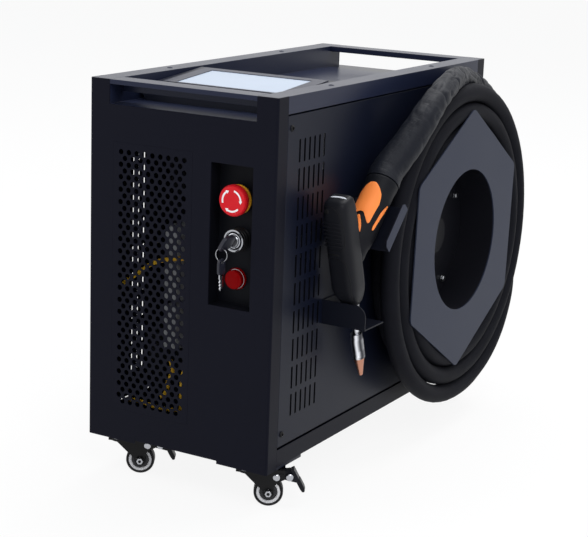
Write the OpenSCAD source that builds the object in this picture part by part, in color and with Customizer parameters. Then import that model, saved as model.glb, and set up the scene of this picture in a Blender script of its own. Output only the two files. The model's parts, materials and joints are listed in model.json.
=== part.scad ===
// Air-cooled handheld laser welding machine: a sheet-metal cabinet on casters with a
// hose reel and a holder for the welding gun on its right side.
// The origin is on the floor under the middle of the cabinet. +X is the reel side,
// -Y is the front with the controls and +Z is up. Lengths are in millimetres.

/* [Cabinet] */
// Width of the cabinet
cab_w = 277; // [267:1:300]
// Depth of the cabinet
cab_d = 600; // [580:1:640]
// Height of the cabinet body
cab_h = 474; // [464:1:500]
// Height of the cabinet's underside over the floor
caster_h = 54; // [54:1:60]
// Thickness of the sheet metal
sheet_t = 1.5; // [1.2:0.1:2]
// Outer radius of the upright bends
edge_r = 3; // [2.5:0.5:5]
// Depth of the front and rear shells' side returns
return_d = 24; // [20:1:30]
// Width of the seam round the side panels
seam = 2; // [1.5:0.5:3]
// How far the side panels lie below the outer surface
panel_recess = 1; // [0.5:0.25:2]
// Height of the cut-up bottom edge between the corner feet
foot_h = 4; // [3:0.5:6]

/* [Top tray] */
// Width of the rim round the tray
rim_w = 30; // [26:1:34]
// Depth of the tray below the rim
tray_depth = 31; // [28:1:36]
// Height of the skirt under the rim
skirt_h = 22; // [20:1:26]
// Height of the handle's front lip
lip_h = 6; // [5:0.5:8]
// Height of the handle's inner lip
inner_lip_h = 18; // [14:1:20]

/* [Vent field] */
// Diameter of the round vent holes
vent_d = 7; // [6:0.5:8]
// Sideways pitch of the vent holes
vent_px = 12; // [11:0.5:13]
// Upright pitch of the vent rows
vent_pz = 8.03; // [7.8:0.01:8.4]
// Number of columns in the vent field
vent_cols = 9; // [5:1:10]
// Number of rows in the vent field
vent_rows = 42; // [10:1:43]

/* [Louvres] */
// Width of a louvre slot
slot_w = 4; // [3:0.5:5]
// Length of a louvre slot
slot_l = 29.3; // [24:0.1:32]
// Pitch between louvre columns
slot_py = 12.2; // [10:0.1:14]
// Pitch between louvre rows
slot_pz = 36.2; // [34:0.1:38]
// Number of louvre columns at each end
slot_cols = 6; // [3:1:8]
// Number of louvre rows
slot_rows = 10; // [5:1:10]

/* [Control pocket] */
// Width of the recess for the controls
pocket_w = 60.6; // [56:0.2:64]
// Height of the recess for the controls
pocket_h = 180; // [170:1:200]
// Depth of the recess for the controls
pocket_depth = 22.4; // [20:0.2:26]
// Diameter of the emergency stop's head
estop_d = 40.7; // [36:0.1:44]
// Distance from the plate to the emergency stop's face
estop_h = 25.4; // [24:0.2:30]
// Travel of the emergency stop
estop_travel = 4.5; // [3:0.5:5]
// Diameter of the key switch
switch_d = 29; // [27:0.5:31]
// Distance from the plate to the key switch's face
switch_h = 16; // [14:0.5:20]
// Diameter of the lamp
lamp_d = 26; // [22:0.5:29]
// Height of the lamp over the plate
lamp_h = 11.5; // [9:0.5:14]
// Outer diameter of the split ring
ring_d = 18; // [16:0.5:20]

/* [Console] */
// Gap between the console and the tray's sides
console_side_gap = 13; // [9:1:18]
// Depth of the console
console_d = 145.5; // [135:0.5:155]
// Height of the console's front edge over the tray
console_h1 = 10.5; // [8:0.5:14]
// Height of the console's back edge over the tray
console_h2 = 31; // [26:1:36]
// Width left on each side of the screen
screen_side = 18.5; // [14:0.5:24]
// Length of the screen along the slope
screen_l = 86; // [76:1:92]

/* [Hose reel] */
// Distance across the flats of the reel plate
reel_af = 325; // [310:1:340]
// Radius of the reel plate's corners
reel_cr = 13; // [8:1:18]
// Thickness of the reel plate
reel_t = 2; // [1.5:0.5:3]
// Outer radius of the drum
drum_r = 103; // [103:0.5:105]
// Wall of the drum
drum_wall = 2; // [1.5:0.5:3]
// Distance from the cabinet's side to the plate's back
reel_gap = 53.5; // [53.5:0.5:56]
// Radius of the drum's bolt circle
bolt_pcr = 88; // [80:1:92]
// Diameter of the supply hose
hose_d = 26; // [24:0.5:26]

/* [Gun] */
// Lean of the gun from upright
gun_lean = 17.3; // [17:0.1:17.6]
// Width of the gun's head
head_w = 38; // [34:1:42]
// Angle between the grip and the head's axis
grip_angle = 62.3; // [62:0.1:62.6]
// Diameter of the grip
grip_d = 42; // [38:1:42]
// Length from the head's axis to the grip's end
grip_l = 123; // [118:1:124]
// Diameter of the ribbed nozzle
nozzle_d = 17.6; // [16:0.2:19]
// Diameter of the steel tube
tube_d = 8; // [7:0.5:10]
// Thickness of the holder's sheet
holder_t = 2; // [1.5:0.5:3]

/* [Casters] */
// Diameter of the wheels
wheel_d = 38; // [36:1:39]
// Width of the tread
wheel_w = 17; // [15:0.5:18]
// Distance from the swivel axis to the axle
trail = 22; // [18:1:24]
// Heading of the casters as they stand
trail_a = 30; // [0:1:60]
// Sideways place of the swivel axes
swivel_x = 100; // [96:1:102]
// Lengthways place of the swivel axes
swivel_y = 272; // [262:1:274]

/* [Hidden] */
$fn = 48;
// Overrun of every cut, seating gap and running clearance
eps = 1;
gap = 0.3;
run = 0.05;

// Levels and faces of the cabinet
z0 = caster_h;
z1 = caster_h + cab_h;
xs = cab_w / 2;
ys = cab_d / 2;
tray_z = z1 - tray_depth;
tray_x = xs - rim_w;
handle_top = z1 - lip_h;
panel_x = xs - panel_recess;
panel_y = ys - return_d - seam;
base_flange_h = 27;
panel_z0 = z0 + base_flange_h + seam;
panel_z1 = z1 - skirt_h - seam;
landing_w = 15;

// Places of the openings in the front
vent_x0 = -90;
vent_drop = 90;
vent_top = z1 - vent_drop;
vent_margin = 12;
vent_l = vent_x0 - vent_margin;
vent_r = vent_x0 + (vent_cols - 1) * vent_px + vent_margin;
vent_b = vent_top - (vent_rows - 1) * vent_pz - vent_margin;
vent_t = vent_top + vent_margin;
pocket_x = 75.7;
pocket_up = 297;
pocket_z = z0 + pocket_up;
ctrl_off = 0.8;
ctrl_x = pocket_x + ctrl_off;
plate_y = -ys + pocket_depth;
pocket_flange = 7;
estop_share = 0.263333;
switch_share = 0.030556;
lamp_share = 0.313889;
estop_z = pocket_z + pocket_h * estop_share;
switch_z = pocket_z - pocket_h * switch_share;
lamp_z = pocket_z - pocket_h * lamp_share;

// Runs a profile drawn in x and z along y
module along_y(y, len) {
    translate([0, y + len, 0]) rotate([90, 0, 0]) linear_extrude(len) children();
}
// Runs a profile drawn in y and z along x
module along_x(x, len) {
    translate([x, 0, 0]) rotate([90, 0, 90]) linear_extrude(len) children();
}
// Places children on an axis that points out of the front
module facing_front(x, y, z) {
    translate([x, y, z]) rotate([90, 0, 0]) children();
}
// Rounded rectangle about the origin
module rrect(w, h, r) {
    square([w - 2 * r, h], center = true);
    square([w, h - 2 * r], center = true);
    for (i = [-1, 1], j = [-1, 1]) translate([i * (w / 2 - r), j * (h / 2 - r)]) circle(r);
}
// Box from its lower corner to its upper corner
module span(a, b) {
    translate(a) cube(b - a);
}

// ---- Sheet metal ----

// Plan of the front or rear shell: a plate with rounded bends and side returns
module shell_plan() {
    difference() {
        union() {
            translate([-xs + edge_r, -ys]) square([cab_w - 2 * edge_r, return_d]);
            translate([-xs, -ys + edge_r]) square([cab_w, return_d - edge_r]);
            for (s = [-1, 1]) translate([s * (xs - edge_r), -ys + edge_r]) circle(edge_r);
        }
        translate([-xs + sheet_t, -ys + sheet_t]) square([cab_w - 2 * sheet_t, return_d]);
    }
}
// Inward joggle that carries the upright edge of a side panel
module landing_plan() {
    x_in = panel_x - 2 * sheet_t;
    for (s = [0, 1]) mirror([s, 0]) {
        translate([x_in, -ys + return_d - sheet_t]) square([xs - sheet_t - x_in, sheet_t]);
        translate([x_in, -ys + return_d - sheet_t]) square([sheet_t, landing_w]);
    }
}
foot_w = 75;
module shell() {
    difference() {
        translate([0, 0, z0]) linear_extrude(cab_h) shell_plan();
        // handle opening, open to the top where the handle bar fits
        span([-tray_x, -ys - eps, tray_z], [tray_x, -ys + sheet_t + eps, z1 + eps]);
        // bottom edge between the corner feet
        span([-xs + foot_w, -ys - eps, z0 - eps], [xs - foot_w, -ys + sheet_t + eps, z0 + foot_h]);
    }
    translate([0, 0, panel_z0 + seam]) linear_extrude(panel_z1 - panel_z0 - 2 * seam) landing_plan();
}
module front_panel() color([0.10, 0.10, 0.14]) difference() {
    shell();
    translate([pocket_x, 0, pocket_z]) along_y(-ys - eps, sheet_t + 2 * eps)
        square([pocket_w, pocket_h], center = true);
    span([vent_l, -ys - eps, vent_b], [vent_r, -ys + sheet_t + eps, vent_t]);
}
// Perforated field, flush in its window in the front plate
module front_grille() color([0.10, 0.10, 0.14]) along_y(-ys, sheet_t) difference() {
    translate([vent_l, vent_b]) square([vent_r - vent_l, vent_t - vent_b]);
    for (row = [0 : vent_rows - 1], col = [0 : vent_cols - 1 - row % 2])
        translate([vent_x0 + (col + row % 2 / 2) * vent_px, vent_top - row * vent_pz])
            circle(vent_d / 2, $fn = 24);
}
// Outline of the tray with its rims and skirts, seen from the front
module tray_profile() {
    for (s = [0, 1]) mirror([s, 0]) {
        translate([xs - sheet_t, z1 - skirt_h]) square([sheet_t, skirt_h]);
        translate([tray_x, z1 - sheet_t]) square([rim_w, sheet_t]);
        translate([tray_x, tray_z - sheet_t]) square([sheet_t, tray_depth + sheet_t]);
    }
    translate([-tray_x - sheet_t, tray_z - sheet_t]) square([2 * (tray_x + sheet_t), sheet_t]);
}
module top_tray() color([0.33, 0.34, 0.42]) difference() {
    along_y(-ys + sheet_t, cab_d - 2 * sheet_t) tray_profile();
    // window that the console stands through
    span([-console_w / 2 - gap, console_y - gap, tray_z - 2 * sheet_t], [console_w / 2 + gap, console_yb + gap, tray_z + eps]);
    for (i = [-1, 1], j = [-1, 1]) translate([i * xs, j * ys, z1])
        cube([2 * sheet_t, 2 * return_d, 3 * skirt_h], center = true);
}
module handle_bars() color([0.33, 0.34, 0.42]) for (s = [0, 1]) mirror([0, s, 0])
    along_x(-tray_x, 2 * tray_x) {
        translate([-ys, handle_top]) square([sheet_t, lip_h]);
        translate([-ys, z1 - sheet_t]) square([rim_w, sheet_t]);
        translate([-ys + rim_w - sheet_t, z1 - inner_lip_h]) square([sheet_t, inner_lip_h]);
    }
module base_tray() color([0.10, 0.10, 0.14]) {
    along_y(-ys + return_d, cab_d - 2 * return_d) for (s = [0, 1]) mirror([s, 0])
        translate([xs - sheet_t, z0 + foot_h]) square([sheet_t, base_flange_h - foot_h]);
    span([-xs + sheet_t, -ys + sheet_t, z0 + foot_h], [xs - sheet_t, ys - sheet_t, z0 + foot_h + sheet_t]);
}
louvre_in = 30;
louvre_drop = 55;
louvre_y = panel_y - louvre_in;
louvre_top = z1 - louvre_drop;
module louvres() {
    for (s = [-1, 1], col = [0 : slot_cols - 1], row = [0 : slot_rows - 1])
        translate([s * (louvre_y - col * slot_py), louvre_top - slot_l / 2 - row * slot_pz])
            rrect(slot_w, slot_l, slot_w * 0.49, $fn = 24);
}
screw_in = 9;
screw_drop = 39.6;
screw_rise = 45.2;
screw_y = panel_y - screw_in;
screw_zt = z1 - screw_drop;
screw_zb = z0 + screw_rise;
screw_d = 8;
thread_d = 4;
module side_panel() {
    difference() {
        along_x(panel_x - sheet_t, sheet_t) difference() {
            translate([-panel_y, panel_z0]) square([2 * panel_y, panel_z1 - panel_z0]);
            louvres();
        }
        for (s = [-1, 1], z = [screw_zt, screw_zb]) translate([panel_x, s * screw_y, z])
            rotate([0, 90, 0]) cylinder(d = thread_d + 2 * run, h = 4 * sheet_t, center = true);
    }
}
module side_panel_right() color([0.17, 0.18, 0.23]) side_panel();
module side_panel_left() color([0.17, 0.18, 0.23]) mirror([1, 0, 0]) side_panel();

// A button-head screw whose head stands on the xy plane
module button_screw(d, h) {
    difference() {
        rotate_extrude() difference() {
            union() {
                square([d / 2, h * 0.4]);
                square([d * 0.36, h]);
                translate([d * 0.3, 0]) intersection() {
                    circle(h);
                    square(h);
                }
            }
            translate([d / 2, -eps]) square([d, h + 2 * eps]);
        }
        translate([0, 0, h * 0.4]) cylinder(d = d * 0.45, h = h, $fn = 6);
    }
    translate([0, 0, -sheet_t + run]) cylinder(d = thread_d, h = sheet_t);
}
// A hexagon-head bolt whose head stands on the xy plane
module hex_bolt(af, h) {
    cylinder(d = af / cos(30), h = h, $fn = 6);
    translate([0, 0, h]) cylinder(d = af * 0.8, h = h * 0.12);
}
rim_screw_y = 146;
screw_h = 2.2;
reel_bolt_af = 10;
reel_bolt_h = 4;
bolt_a = 32;
module fasteners() color([0.75, 0.77, 0.80]) {
    for (m = [0, 1], s = [-1, 1], z = [screw_zt, screw_zb]) mirror([m, 0, 0])
        translate([panel_x, s * screw_y, z]) rotate([0, 90, 0]) button_screw(screw_d, screw_h);
    for (i = [-1, 1], j = [-1, 1])
        translate([i * (xs - rim_w / 2), j * rim_screw_y, z1]) cylinder(d = screw_d, h = screw_h / 2);
    for (k = [0 : 3]) reel_place(bolt_a + 90 * k)
        translate([0, 0, reel_foot_t]) hex_bolt(reel_bolt_af, reel_bolt_h);
}

// ---- Controls ----

module control_pocket() color([0.08, 0.08, 0.11]) {
    difference() {
        translate([pocket_x, 0, pocket_z]) union() {
            along_y(-ys + sheet_t, sheet_t)
                square([pocket_w + 2 * pocket_flange, pocket_h + 2 * pocket_flange], center = true);
            along_y(-ys + sheet_t, pocket_depth)
                square([pocket_w + 2 * sheet_t, pocket_h + 2 * sheet_t], center = true);
        }
        translate([pocket_x, 0, pocket_z]) along_y(-ys, pocket_depth)
            square([pocket_w, pocket_h], center = true);
        for (z = [estop_z, switch_z, lamp_z]) facing_front(ctrl_x, plate_y, z)
            cylinder(d = barrel_d + 2 * run, h = 4 * sheet_t, center = true);
    }
}
barrel_d = 22;
barrel_l = 26;
nut_d = 28;
nut_h = 4;
// Threaded barrel behind the plate with its lock nut
module barrel(bore) {
    difference() {
        union() {
            translate([0, 0, -barrel_l]) cylinder(d = barrel_d, h = barrel_l);
            translate([0, 0, -sheet_t - nut_h]) cylinder(d = nut_d, h = nut_h, $fn = 8);
        }
        translate([0, 0, -barrel_l - eps]) cylinder(d = bore, h = barrel_l + 2 * eps);
    }
}
stem_d = 16;
legend_d = 46;
legend_t = 2;
collar_d = 30;
estop_round = 3;
estop_depth = 17;
estop_rim = estop_h - estop_round;
estop_back = estop_h - estop_depth;
collar_h = estop_back - estop_travel - gap;
module estop_collar() color([0.92, 0.70, 0.10]) facing_front(ctrl_x, plate_y, estop_z) {
    difference() {
        union() {
            cylinder(d = legend_d, h = legend_t);
            cylinder(d = collar_d, h = collar_h);
        }
        translate([0, 0, -eps]) cylinder(d = stem_d + 2 * run, h = collar_h + 2 * eps);
    }
    barrel(stem_d + 2 * run);
}
spigot_d = 10;
spigot_l = 8;
neck_z = 2;
neck_h = 3;
neck_in = 0.8;
flute_n = 36;
flute_r = 1;
flute_off = 0.5;
module estop_stem() color([0.30, 0.31, 0.33]) facing_front(ctrl_x, plate_y, estop_z) {
    translate([0, 0, -barrel_l + estop_travel + gap]) cylinder(d = stem_d, h = barrel_l - estop_travel - gap + estop_back);
    cylinder(d = spigot_d, h = estop_back + spigot_l);
}
module estop_head() color([0.80, 0.12, 0.15]) facing_front(ctrl_x, plate_y, estop_z) {
    r = estop_d / 2;
    difference() {
        rotate_extrude() {
            translate([0, estop_back]) square([r - estop_round, estop_depth]);
            translate([0, estop_back + neck_z]) square([r - neck_in, neck_h]);
            translate([0, estop_back + neck_z + neck_h]) square([r, estop_rim - estop_back - neck_z - neck_h]);
            translate([r - estop_round, estop_rim]) circle(estop_round);
        }
        translate([0, 0, estop_back - eps]) cylinder(d = spigot_d + 2 * run, h = spigot_l + eps + gap);
        for (k = [0 : flute_n - 1]) rotate(360 / flute_n * k) translate([r + flute_off, 0, estop_back - eps])
            cylinder(r = flute_r, h = estop_rim - estop_back - flute_r + eps, $fn = 16);
    }
}
plug_d = 20;
plug_lift = 1;
switch_step = 2;
switch_land = 0.8;
module key_switch_body() color([0.62, 0.64, 0.68]) facing_front(ctrl_x, plate_y, switch_z) {
    difference() {
        union() {
            cylinder(d = switch_d, h = switch_h * 0.55);
            cylinder(d = switch_d - switch_step, h = switch_h * 0.8);
            cylinder(d = switch_d, h = switch_h * 0.75 + switch_land);
            translate([0, 0, switch_h * 0.75])
                cylinder(d1 = switch_d - switch_step / 2, d2 = switch_d - 2 * switch_step, h = switch_h * 0.25);
        }
        translate([0, 0, -eps]) cylinder(d = plug_d + 2 * run, h = switch_h + 2 * eps);
    }
    barrel(plug_d - switch_step);
}
blade_w = 8;
blade_t = 2;
blade_l = 14;
key_turn = 30;
module key_frame() facing_front(ctrl_x, plate_y, switch_z) rotate([0, 0, -key_turn]) children();
module key_cylinder() color([0.75, 0.77, 0.80]) key_frame() difference() {
    union() {
        translate([0, 0, gap]) cylinder(d = plug_d, h = switch_h - gap);
        cylinder(d = plug_d * 0.72, h = switch_h + plug_lift);
    }
    translate([-(blade_t + gap) / 2, -(blade_w + gap) / 2, switch_h - blade_l])
        cube([blade_t + gap, blade_w + gap, blade_l + 2 * eps]);
}
bow_w = 24;
bow_l = 20;
bow_t = 3.2;
key_hole_d = 5;
hole_off = 8;
key_neck = 4;
// A flat key: its blade points down -z and its bow lies above z = 0
module flat_key(l) {
    translate([-blade_t / 2, -blade_w / 2, -l]) cube([blade_t, blade_w, l + key_neck]);
    difference() {
        translate([-bow_t / 2, 0, key_neck + bow_l / 2]) rotate([90, 0, 90])
            linear_extrude(bow_t) rrect(bow_w, bow_l, bow_l * 0.3);
        translate([0, -hole_off, key_neck + bow_l - key_hole_d])
            rotate([0, 90, 0]) cylinder(d = key_hole_d, h = 2 * bow_t, center = true);
    }
}
module main_key() color([0.10, 0.10, 0.11]) key_frame()
    translate([0, 0, switch_h + plug_lift]) flat_key(blade_l);
wire_d = 1.6;
ring_r = (ring_d - wire_d) / 2;
ring_zk = switch_h + plug_lift + key_neck + bow_l - key_hole_d;
// The ring hangs plumb in the hole of the turned bow, and the spare key hangs from the ring
ring_lift = gap + 3 * run;
spare_drop = (key_hole_d - wire_d) / 2 - 1.6 * gap;
ring_cx = ctrl_x - sin(key_turn) * hole_off;
ring_cz = switch_z - cos(key_turn) * hole_off + ring_lift - ring_r;
module key_ring() color([0.80, 0.80, 0.82]) translate([ring_cx, plate_y - ring_zk, ring_cz])
    rotate([90, 0, 0]) rotate_extrude() translate([ring_r, 0]) circle(d = wire_d, $fn = 16);
spare_w = 15;
spare_blade = 20;
module spare_key() color([0.12, 0.12, 0.13])
    translate([ring_cx, plate_y - ring_zk, ring_cz - ring_r - spare_drop]) rotate([180, 0, 0]) {
        difference() {
            translate([-bow_t / 2, 0, bow_l / 2 - key_hole_d * 0.9]) rotate([90, 0, 90])
                linear_extrude(bow_t) rrect(spare_w, bow_l, bow_l * 0.3);
            rotate([0, 90, 0]) cylinder(d = key_hole_d, h = 2 * bow_t, center = true);
        }
        translate([-blade_t / 2, -blade_w / 2, bow_l - key_hole_d]) cube([blade_t, blade_w, spare_blade]);
    }
lamp_flange = 1;
lamp_round = 1.5;
module indicator_lamp() color([0.85, 0.10, 0.10]) facing_front(ctrl_x, plate_y, lamp_z) {
    cylinder(d = lamp_d + 2 * lamp_flange, h = lamp_h * 0.25);
    rotate_extrude() {
        square([lamp_d / 2, lamp_h - lamp_round]);
        square([lamp_d / 2 - lamp_round, lamp_h]);
        translate([lamp_d / 2 - lamp_round, lamp_h - lamp_round]) circle(lamp_round);
    }
    translate([0, 0, -barrel_l]) cylinder(d = barrel_d, h = barrel_l);
    translate([0, 0, -sheet_t - nut_h]) cylinder(d = nut_d, h = nut_h, $fn = 8);
}

// ---- Console ----

console_w = 2 * (tray_x - console_side_gap);
screen_w = console_w - 2 * screen_side;
console_in = 59.5;
console_y = -ys + console_in;
console_yb = console_y + console_d;
console_a = atan((console_h2 - console_h1) / console_d);
console_wall = 2;
bezel_l = 12;
bezel_t = 1.2;
bezel_edge = 4;
glass_t = 2;
glass_proud = 0.4;
glass_in = 18;
glass_y = console_d - glass_in - screen_l * cos(console_a);
// The console's foot, below the tray's floor, with a flange at each side that holds it
console_z0 = tray_z - 2 * sheet_t;
console_flange = 8;
// Frame on the sloping top: its x is the width, its y runs up the slope
module on_slope() translate([0, console_y, tray_z + console_h1]) rotate([console_a, 0, 0]) children();
module console_side(w) {
    polygon([[console_y + w, console_z0 - w], [console_yb - w, console_z0 - w], [console_yb - w, tray_z + console_h2 - w],
        [console_y + w, tray_z + console_h1 - w]]);
}
module console_housing() color([0.20, 0.21, 0.25]) difference() {
    union() {
        along_x(-console_w / 2, console_w) console_side(0);
        span([-console_w / 2 - console_flange, console_y, console_z0],
            [console_w / 2 + console_flange, console_yb, console_z0 + sheet_t]);
    }
    difference() {
        along_x(-console_w / 2 + console_wall, console_w - 2 * console_wall) console_side(console_wall);
        on_slope() translate([-screen_w / 2 - console_wall, glass_y - console_wall, -glass_t - console_wall])
            cube([screen_w + 2 * console_wall, screen_l + 2 * console_wall, 4 * glass_t]);
    }
    on_slope() translate([-screen_w / 2, glass_y, -glass_t]) cube([screen_w, screen_l, 2 * glass_t]);
}
module screen_glass() color([0.80, 0.86, 0.93]) on_slope()
    translate([-screen_w / 2, glass_y, -glass_t]) cube([screen_w, screen_l, glass_t + glass_proud]);
module screen_bezel() color([0.42, 0.43, 0.48]) on_slope() difference() {
    translate([-screen_w / 2 - bezel_edge, glass_y - bezel_edge, 0])
        cube([screen_w + 2 * bezel_edge, screen_l + bezel_edge + bezel_l, bezel_t]);
    translate([-screen_w / 2, glass_y, -eps]) cube([screen_w, screen_l, bezel_t + 2 * eps]);
}

// ---- Hose reel ----

reel_y = 142;
reel_up = 233;
reel_z = z0 + reel_up;
reel_x = xs + reel_gap;
reel_turn = -2;
reel_foot_t = 2;
hub_r = 26;
hub_h = 10;
// Frame on the side panel with z pointing out of the cabinet and x along +y
module reel_frame() translate([panel_x, reel_y, reel_z]) rotate([90, 0, 90]) children();
module reel_place(a) reel_frame() rotate(a) translate([bolt_pcr, 0, 0]) children();
module reel_drum() color([0.12, 0.13, 0.16]) reel_frame() difference() {
    cylinder(r = drum_r, h = reel_x - panel_x, $fn = 96);
    translate([0, 0, reel_foot_t]) difference() {
        cylinder(r = drum_r - drum_wall, h = reel_x, $fn = 96);
        cylinder(r = hub_r, h = hub_h);
    }
}
// Hexagon with rounded corners, one corner up
module round_hex(af, r) {
    c = af / 2 / cos(30) - r / cos(30);
    polygon([for (k = [0 : 5], s = [-1, 1])
        c * [cos(90 + 60 * k), sin(90 + 60 * k)] + r * [cos(90 + 60 * k + 30 * s), sin(90 + 60 * k + 30 * s)]]);
    for (k = [0 : 5]) rotate(90 + 60 * k) translate([c, 0]) circle(r);
}
module reel_plate() color([0.27, 0.28, 0.36]) translate([reel_x, reel_y, reel_z])
    rotate([90, 0, 90]) linear_extrude(reel_t) difference() {
        rotate(reel_turn) round_hex(reel_af, reel_cr);
        circle(drum_r - drum_wall, $fn = 96);
    }

// ---- Gun ----

gun_out = 32.5;
gun_x = xs + gun_out;
tip_y = -119.3;
tip_up = 93.7;
tip_z = z0 + tip_up;
tip_l = 27;
nozzle_l = 37;
tube_l = 41;
head_s0 = tip_l + nozzle_l + tube_l;
head_l = 163;
head_s1 = head_s0 + head_l;
head_front = 24;
head_back = 10;
grip_at = 67;
grip_s = head_s0 + grip_at;
collar_l = 18;
// Frame at the tip with z running up the gun and y toward its back
module gun_frame() translate([gun_x, tip_y, tip_z]) rotate([gun_lean, 0, 0]) children();
// Frame at the grip's root with z along the grip
module grip_frame() gun_frame() translate([0, 0, grip_s]) rotate([-grip_angle, 0, 0]) children();

module gun_tip() color([0.80, 0.47, 0.30]) gun_frame() difference() {
    rotate_extrude() polygon([[0, 0], [tip_d / 2, 0], [tip_d / 2, tip_land], [tip_root_d / 2, tip_l - tip_base],
        [tip_root_d / 2, tip_l], [0, tip_l]]);
    translate([0, 0, -eps]) cylinder(d = tip_bore, h = tip_l - tip_base + eps);
}
tip_d = 5.5;
tip_root_d = 14;
tip_land = 3;
tip_base = 4;
tip_bore = 2.4;
rib_h = 1.2;
rib_n = 7;
module gun_nozzle() color([0.78, 0.79, 0.82]) gun_frame() translate([0, 0, tip_l]) rotate_extrude() {
    square([nozzle_d / 2 - rib_h, nozzle_l]);
    for (k = [0 : rib_n - 1]) translate([0, nozzle_l * (k + 0.1) / rib_n])
        square([nozzle_d / 2, nozzle_l / rib_n * 0.62]);
}
module gun_nozzle_tube() color([0.75, 0.76, 0.80]) gun_frame() translate([0, 0, tip_l + nozzle_l])
    cylinder(d = tube_d, h = tube_l);
// Outline of the head in side or front view, drawn in at both ends
module head_outline(f, b, f_share, b_share) {
    polygon([[-f * f_share, head_s0], [-f, head_s0 + taper_l], [-f, head_s1 - crown_l],
        [-f * crown_share, head_s1], [b * crown_share, head_s1], [b, head_s1 - crown_l],
        [b, head_s0 + taper_l], [b * b_share, head_s0]]);
}
head_r = 7;
taper_l = 34;
crown_l = 26;
nose_front_share = 0.42;
nose_back_share = 0.8;
nose_side_share = 0.6;
crown_share = 0.8;
module gun_housing() color([0.13, 0.13, 0.15]) gun_frame() difference() {
    intersection() {
        translate([0, (head_back - head_front) / 2, head_s0]) linear_extrude(head_s1 - head_s0)
            rrect(head_w, head_front + head_back, head_r);
        along_x(-head_w, 2 * head_w) head_outline(head_front, head_back, nose_front_share, nose_back_share);
        along_y(-grip_l, 2 * grip_l) head_outline(head_w / 2, head_w / 2, nose_side_share, nose_side_share);
    }
    // seat of the grip, and grooves for the thumb
    translate([0, 0, grip_s]) rotate([-grip_angle, 0, 0]) cylinder(d = grip_d - 2 * seat_step, h = grip_l);
    for (k = [0 : groove_n - 1]) translate([-head_w, -head_front - eps, groove_s + k * groove_pitch])
        cube([2 * head_w, eps + groove_depth, groove_w]);
    translate([-head_w, -head_front - eps, seam_s]) cube([2 * head_w, eps + seam_depth, seam_w]);
}
seat_step = 3;
groove_n = 6;
groove_at = 101;
groove_s = head_s0 + groove_at;
groove_pitch = 5.5;
groove_w = 2.5;
groove_depth = 1.2;
seam_at = 94;
seam_s = head_s0 + seam_at;
seam_w = 1.2;
seam_depth = 0.8;
insert_l0 = 70;
insert_v = 12;
insert_reach = 8;
insert_l1 = 105;
insert_depth = 1.5;
// The grip: its root fills the head's seat and it swells to the palm
grip_root_l = 22;
grip_swell_l = 40;
module grip_solid() rotate_extrude() polygon([[0, 0], [grip_d / 2 - seat_step - run, 0],
    [grip_d / 2 - seat_step - run, grip_root_l], [grip_d / 2, grip_swell_l], [grip_d / 2, grip_l - collar_l], [0, grip_l - collar_l]]);
// Band let into the upper side of the grip, pointed toward the head
module grip_insert_zone() intersection() {
    rotate_extrude() translate([grip_d / 2 - insert_depth, insert_l0]) square([insert_depth + eps, insert_l1 - insert_l0 + eps]);
    along_y(-grip_d, grip_d + insert_reach) polygon([[-grip_d, insert_l1], [-grip_d, insert_l0 + insert_v * 2],
        [0, insert_l0], [grip_d, insert_l0 + insert_v * 2], [grip_d, insert_l1]]);
}
trigger_w = 12;
trigger_l0 = 8;
trigger_l1 = 34;
trigger_pin = 3;
trigger_depth = 9;
trigger_in = grip_d / 2 - trigger_depth;
pin_off = 2.5;
pin_rise = 4;
pin_reach = 4;
trigger_py = trigger_in + pin_off;
trigger_pz = trigger_l0 + pin_rise;
trigger_room = 1;
trigger_bulge = 6;
trigger_nose = 12;
trigger_heel = 8;
trigger_swing = 4;
module trigger_cuts() {
    translate([-trigger_w / 2 - gap, trigger_in - trigger_swing, trigger_l0 - trigger_room])
        cube([trigger_w + 2 * gap, grip_d, trigger_l1 - trigger_l0 + 2 * trigger_room]);
    translate([0, trigger_py, trigger_pz]) rotate([0, 90, 0])
        cylinder(d = trigger_pin + 2 * run, h = trigger_w + 2 * pin_reach, center = true);
}
module gun_grip() color([0.10, 0.10, 0.11]) grip_frame() difference() {
    grip_solid();
    grip_insert_zone();
    trigger_cuts();
}
module gun_grip_insert() color([0.93, 0.45, 0.18]) grip_frame() intersection() {
    grip_solid();
    grip_insert_zone();
}
module gun_trigger() color([0.16, 0.16, 0.17]) grip_frame() {
    r = grip_d / 2;
    along_x(-trigger_w / 2, trigger_w) polygon([[trigger_in, trigger_l0], [r + trigger_bulge / 6, trigger_l0],
        [r + trigger_bulge, trigger_l0 + trigger_nose], [r + trigger_bulge * 11 / 12, trigger_l1 - trigger_heel],
        [r + trigger_bulge / 12, trigger_l1], [trigger_in, trigger_l1]]);
    translate([0, trigger_py, trigger_pz]) rotate([0, 90, 0])
        cylinder(d = trigger_pin, h = trigger_w + 2 * pin_reach - eps, center = true);
}
collar_step = 1;
module gun_collar() color([0.07, 0.07, 0.08]) grip_frame() translate([0, 0, grip_l - collar_l])
    rotate_extrude() {
        square([grip_d / 2 - collar_step, collar_l]);
        translate([0, 2 * collar_step]) square([grip_d / 2 + collar_step, collar_l * 0.35]);
        translate([0, collar_l * 0.6]) square([grip_d / 2 + collar_step, collar_l * 0.4]);
    }

// ---- Gun holder ----

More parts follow.
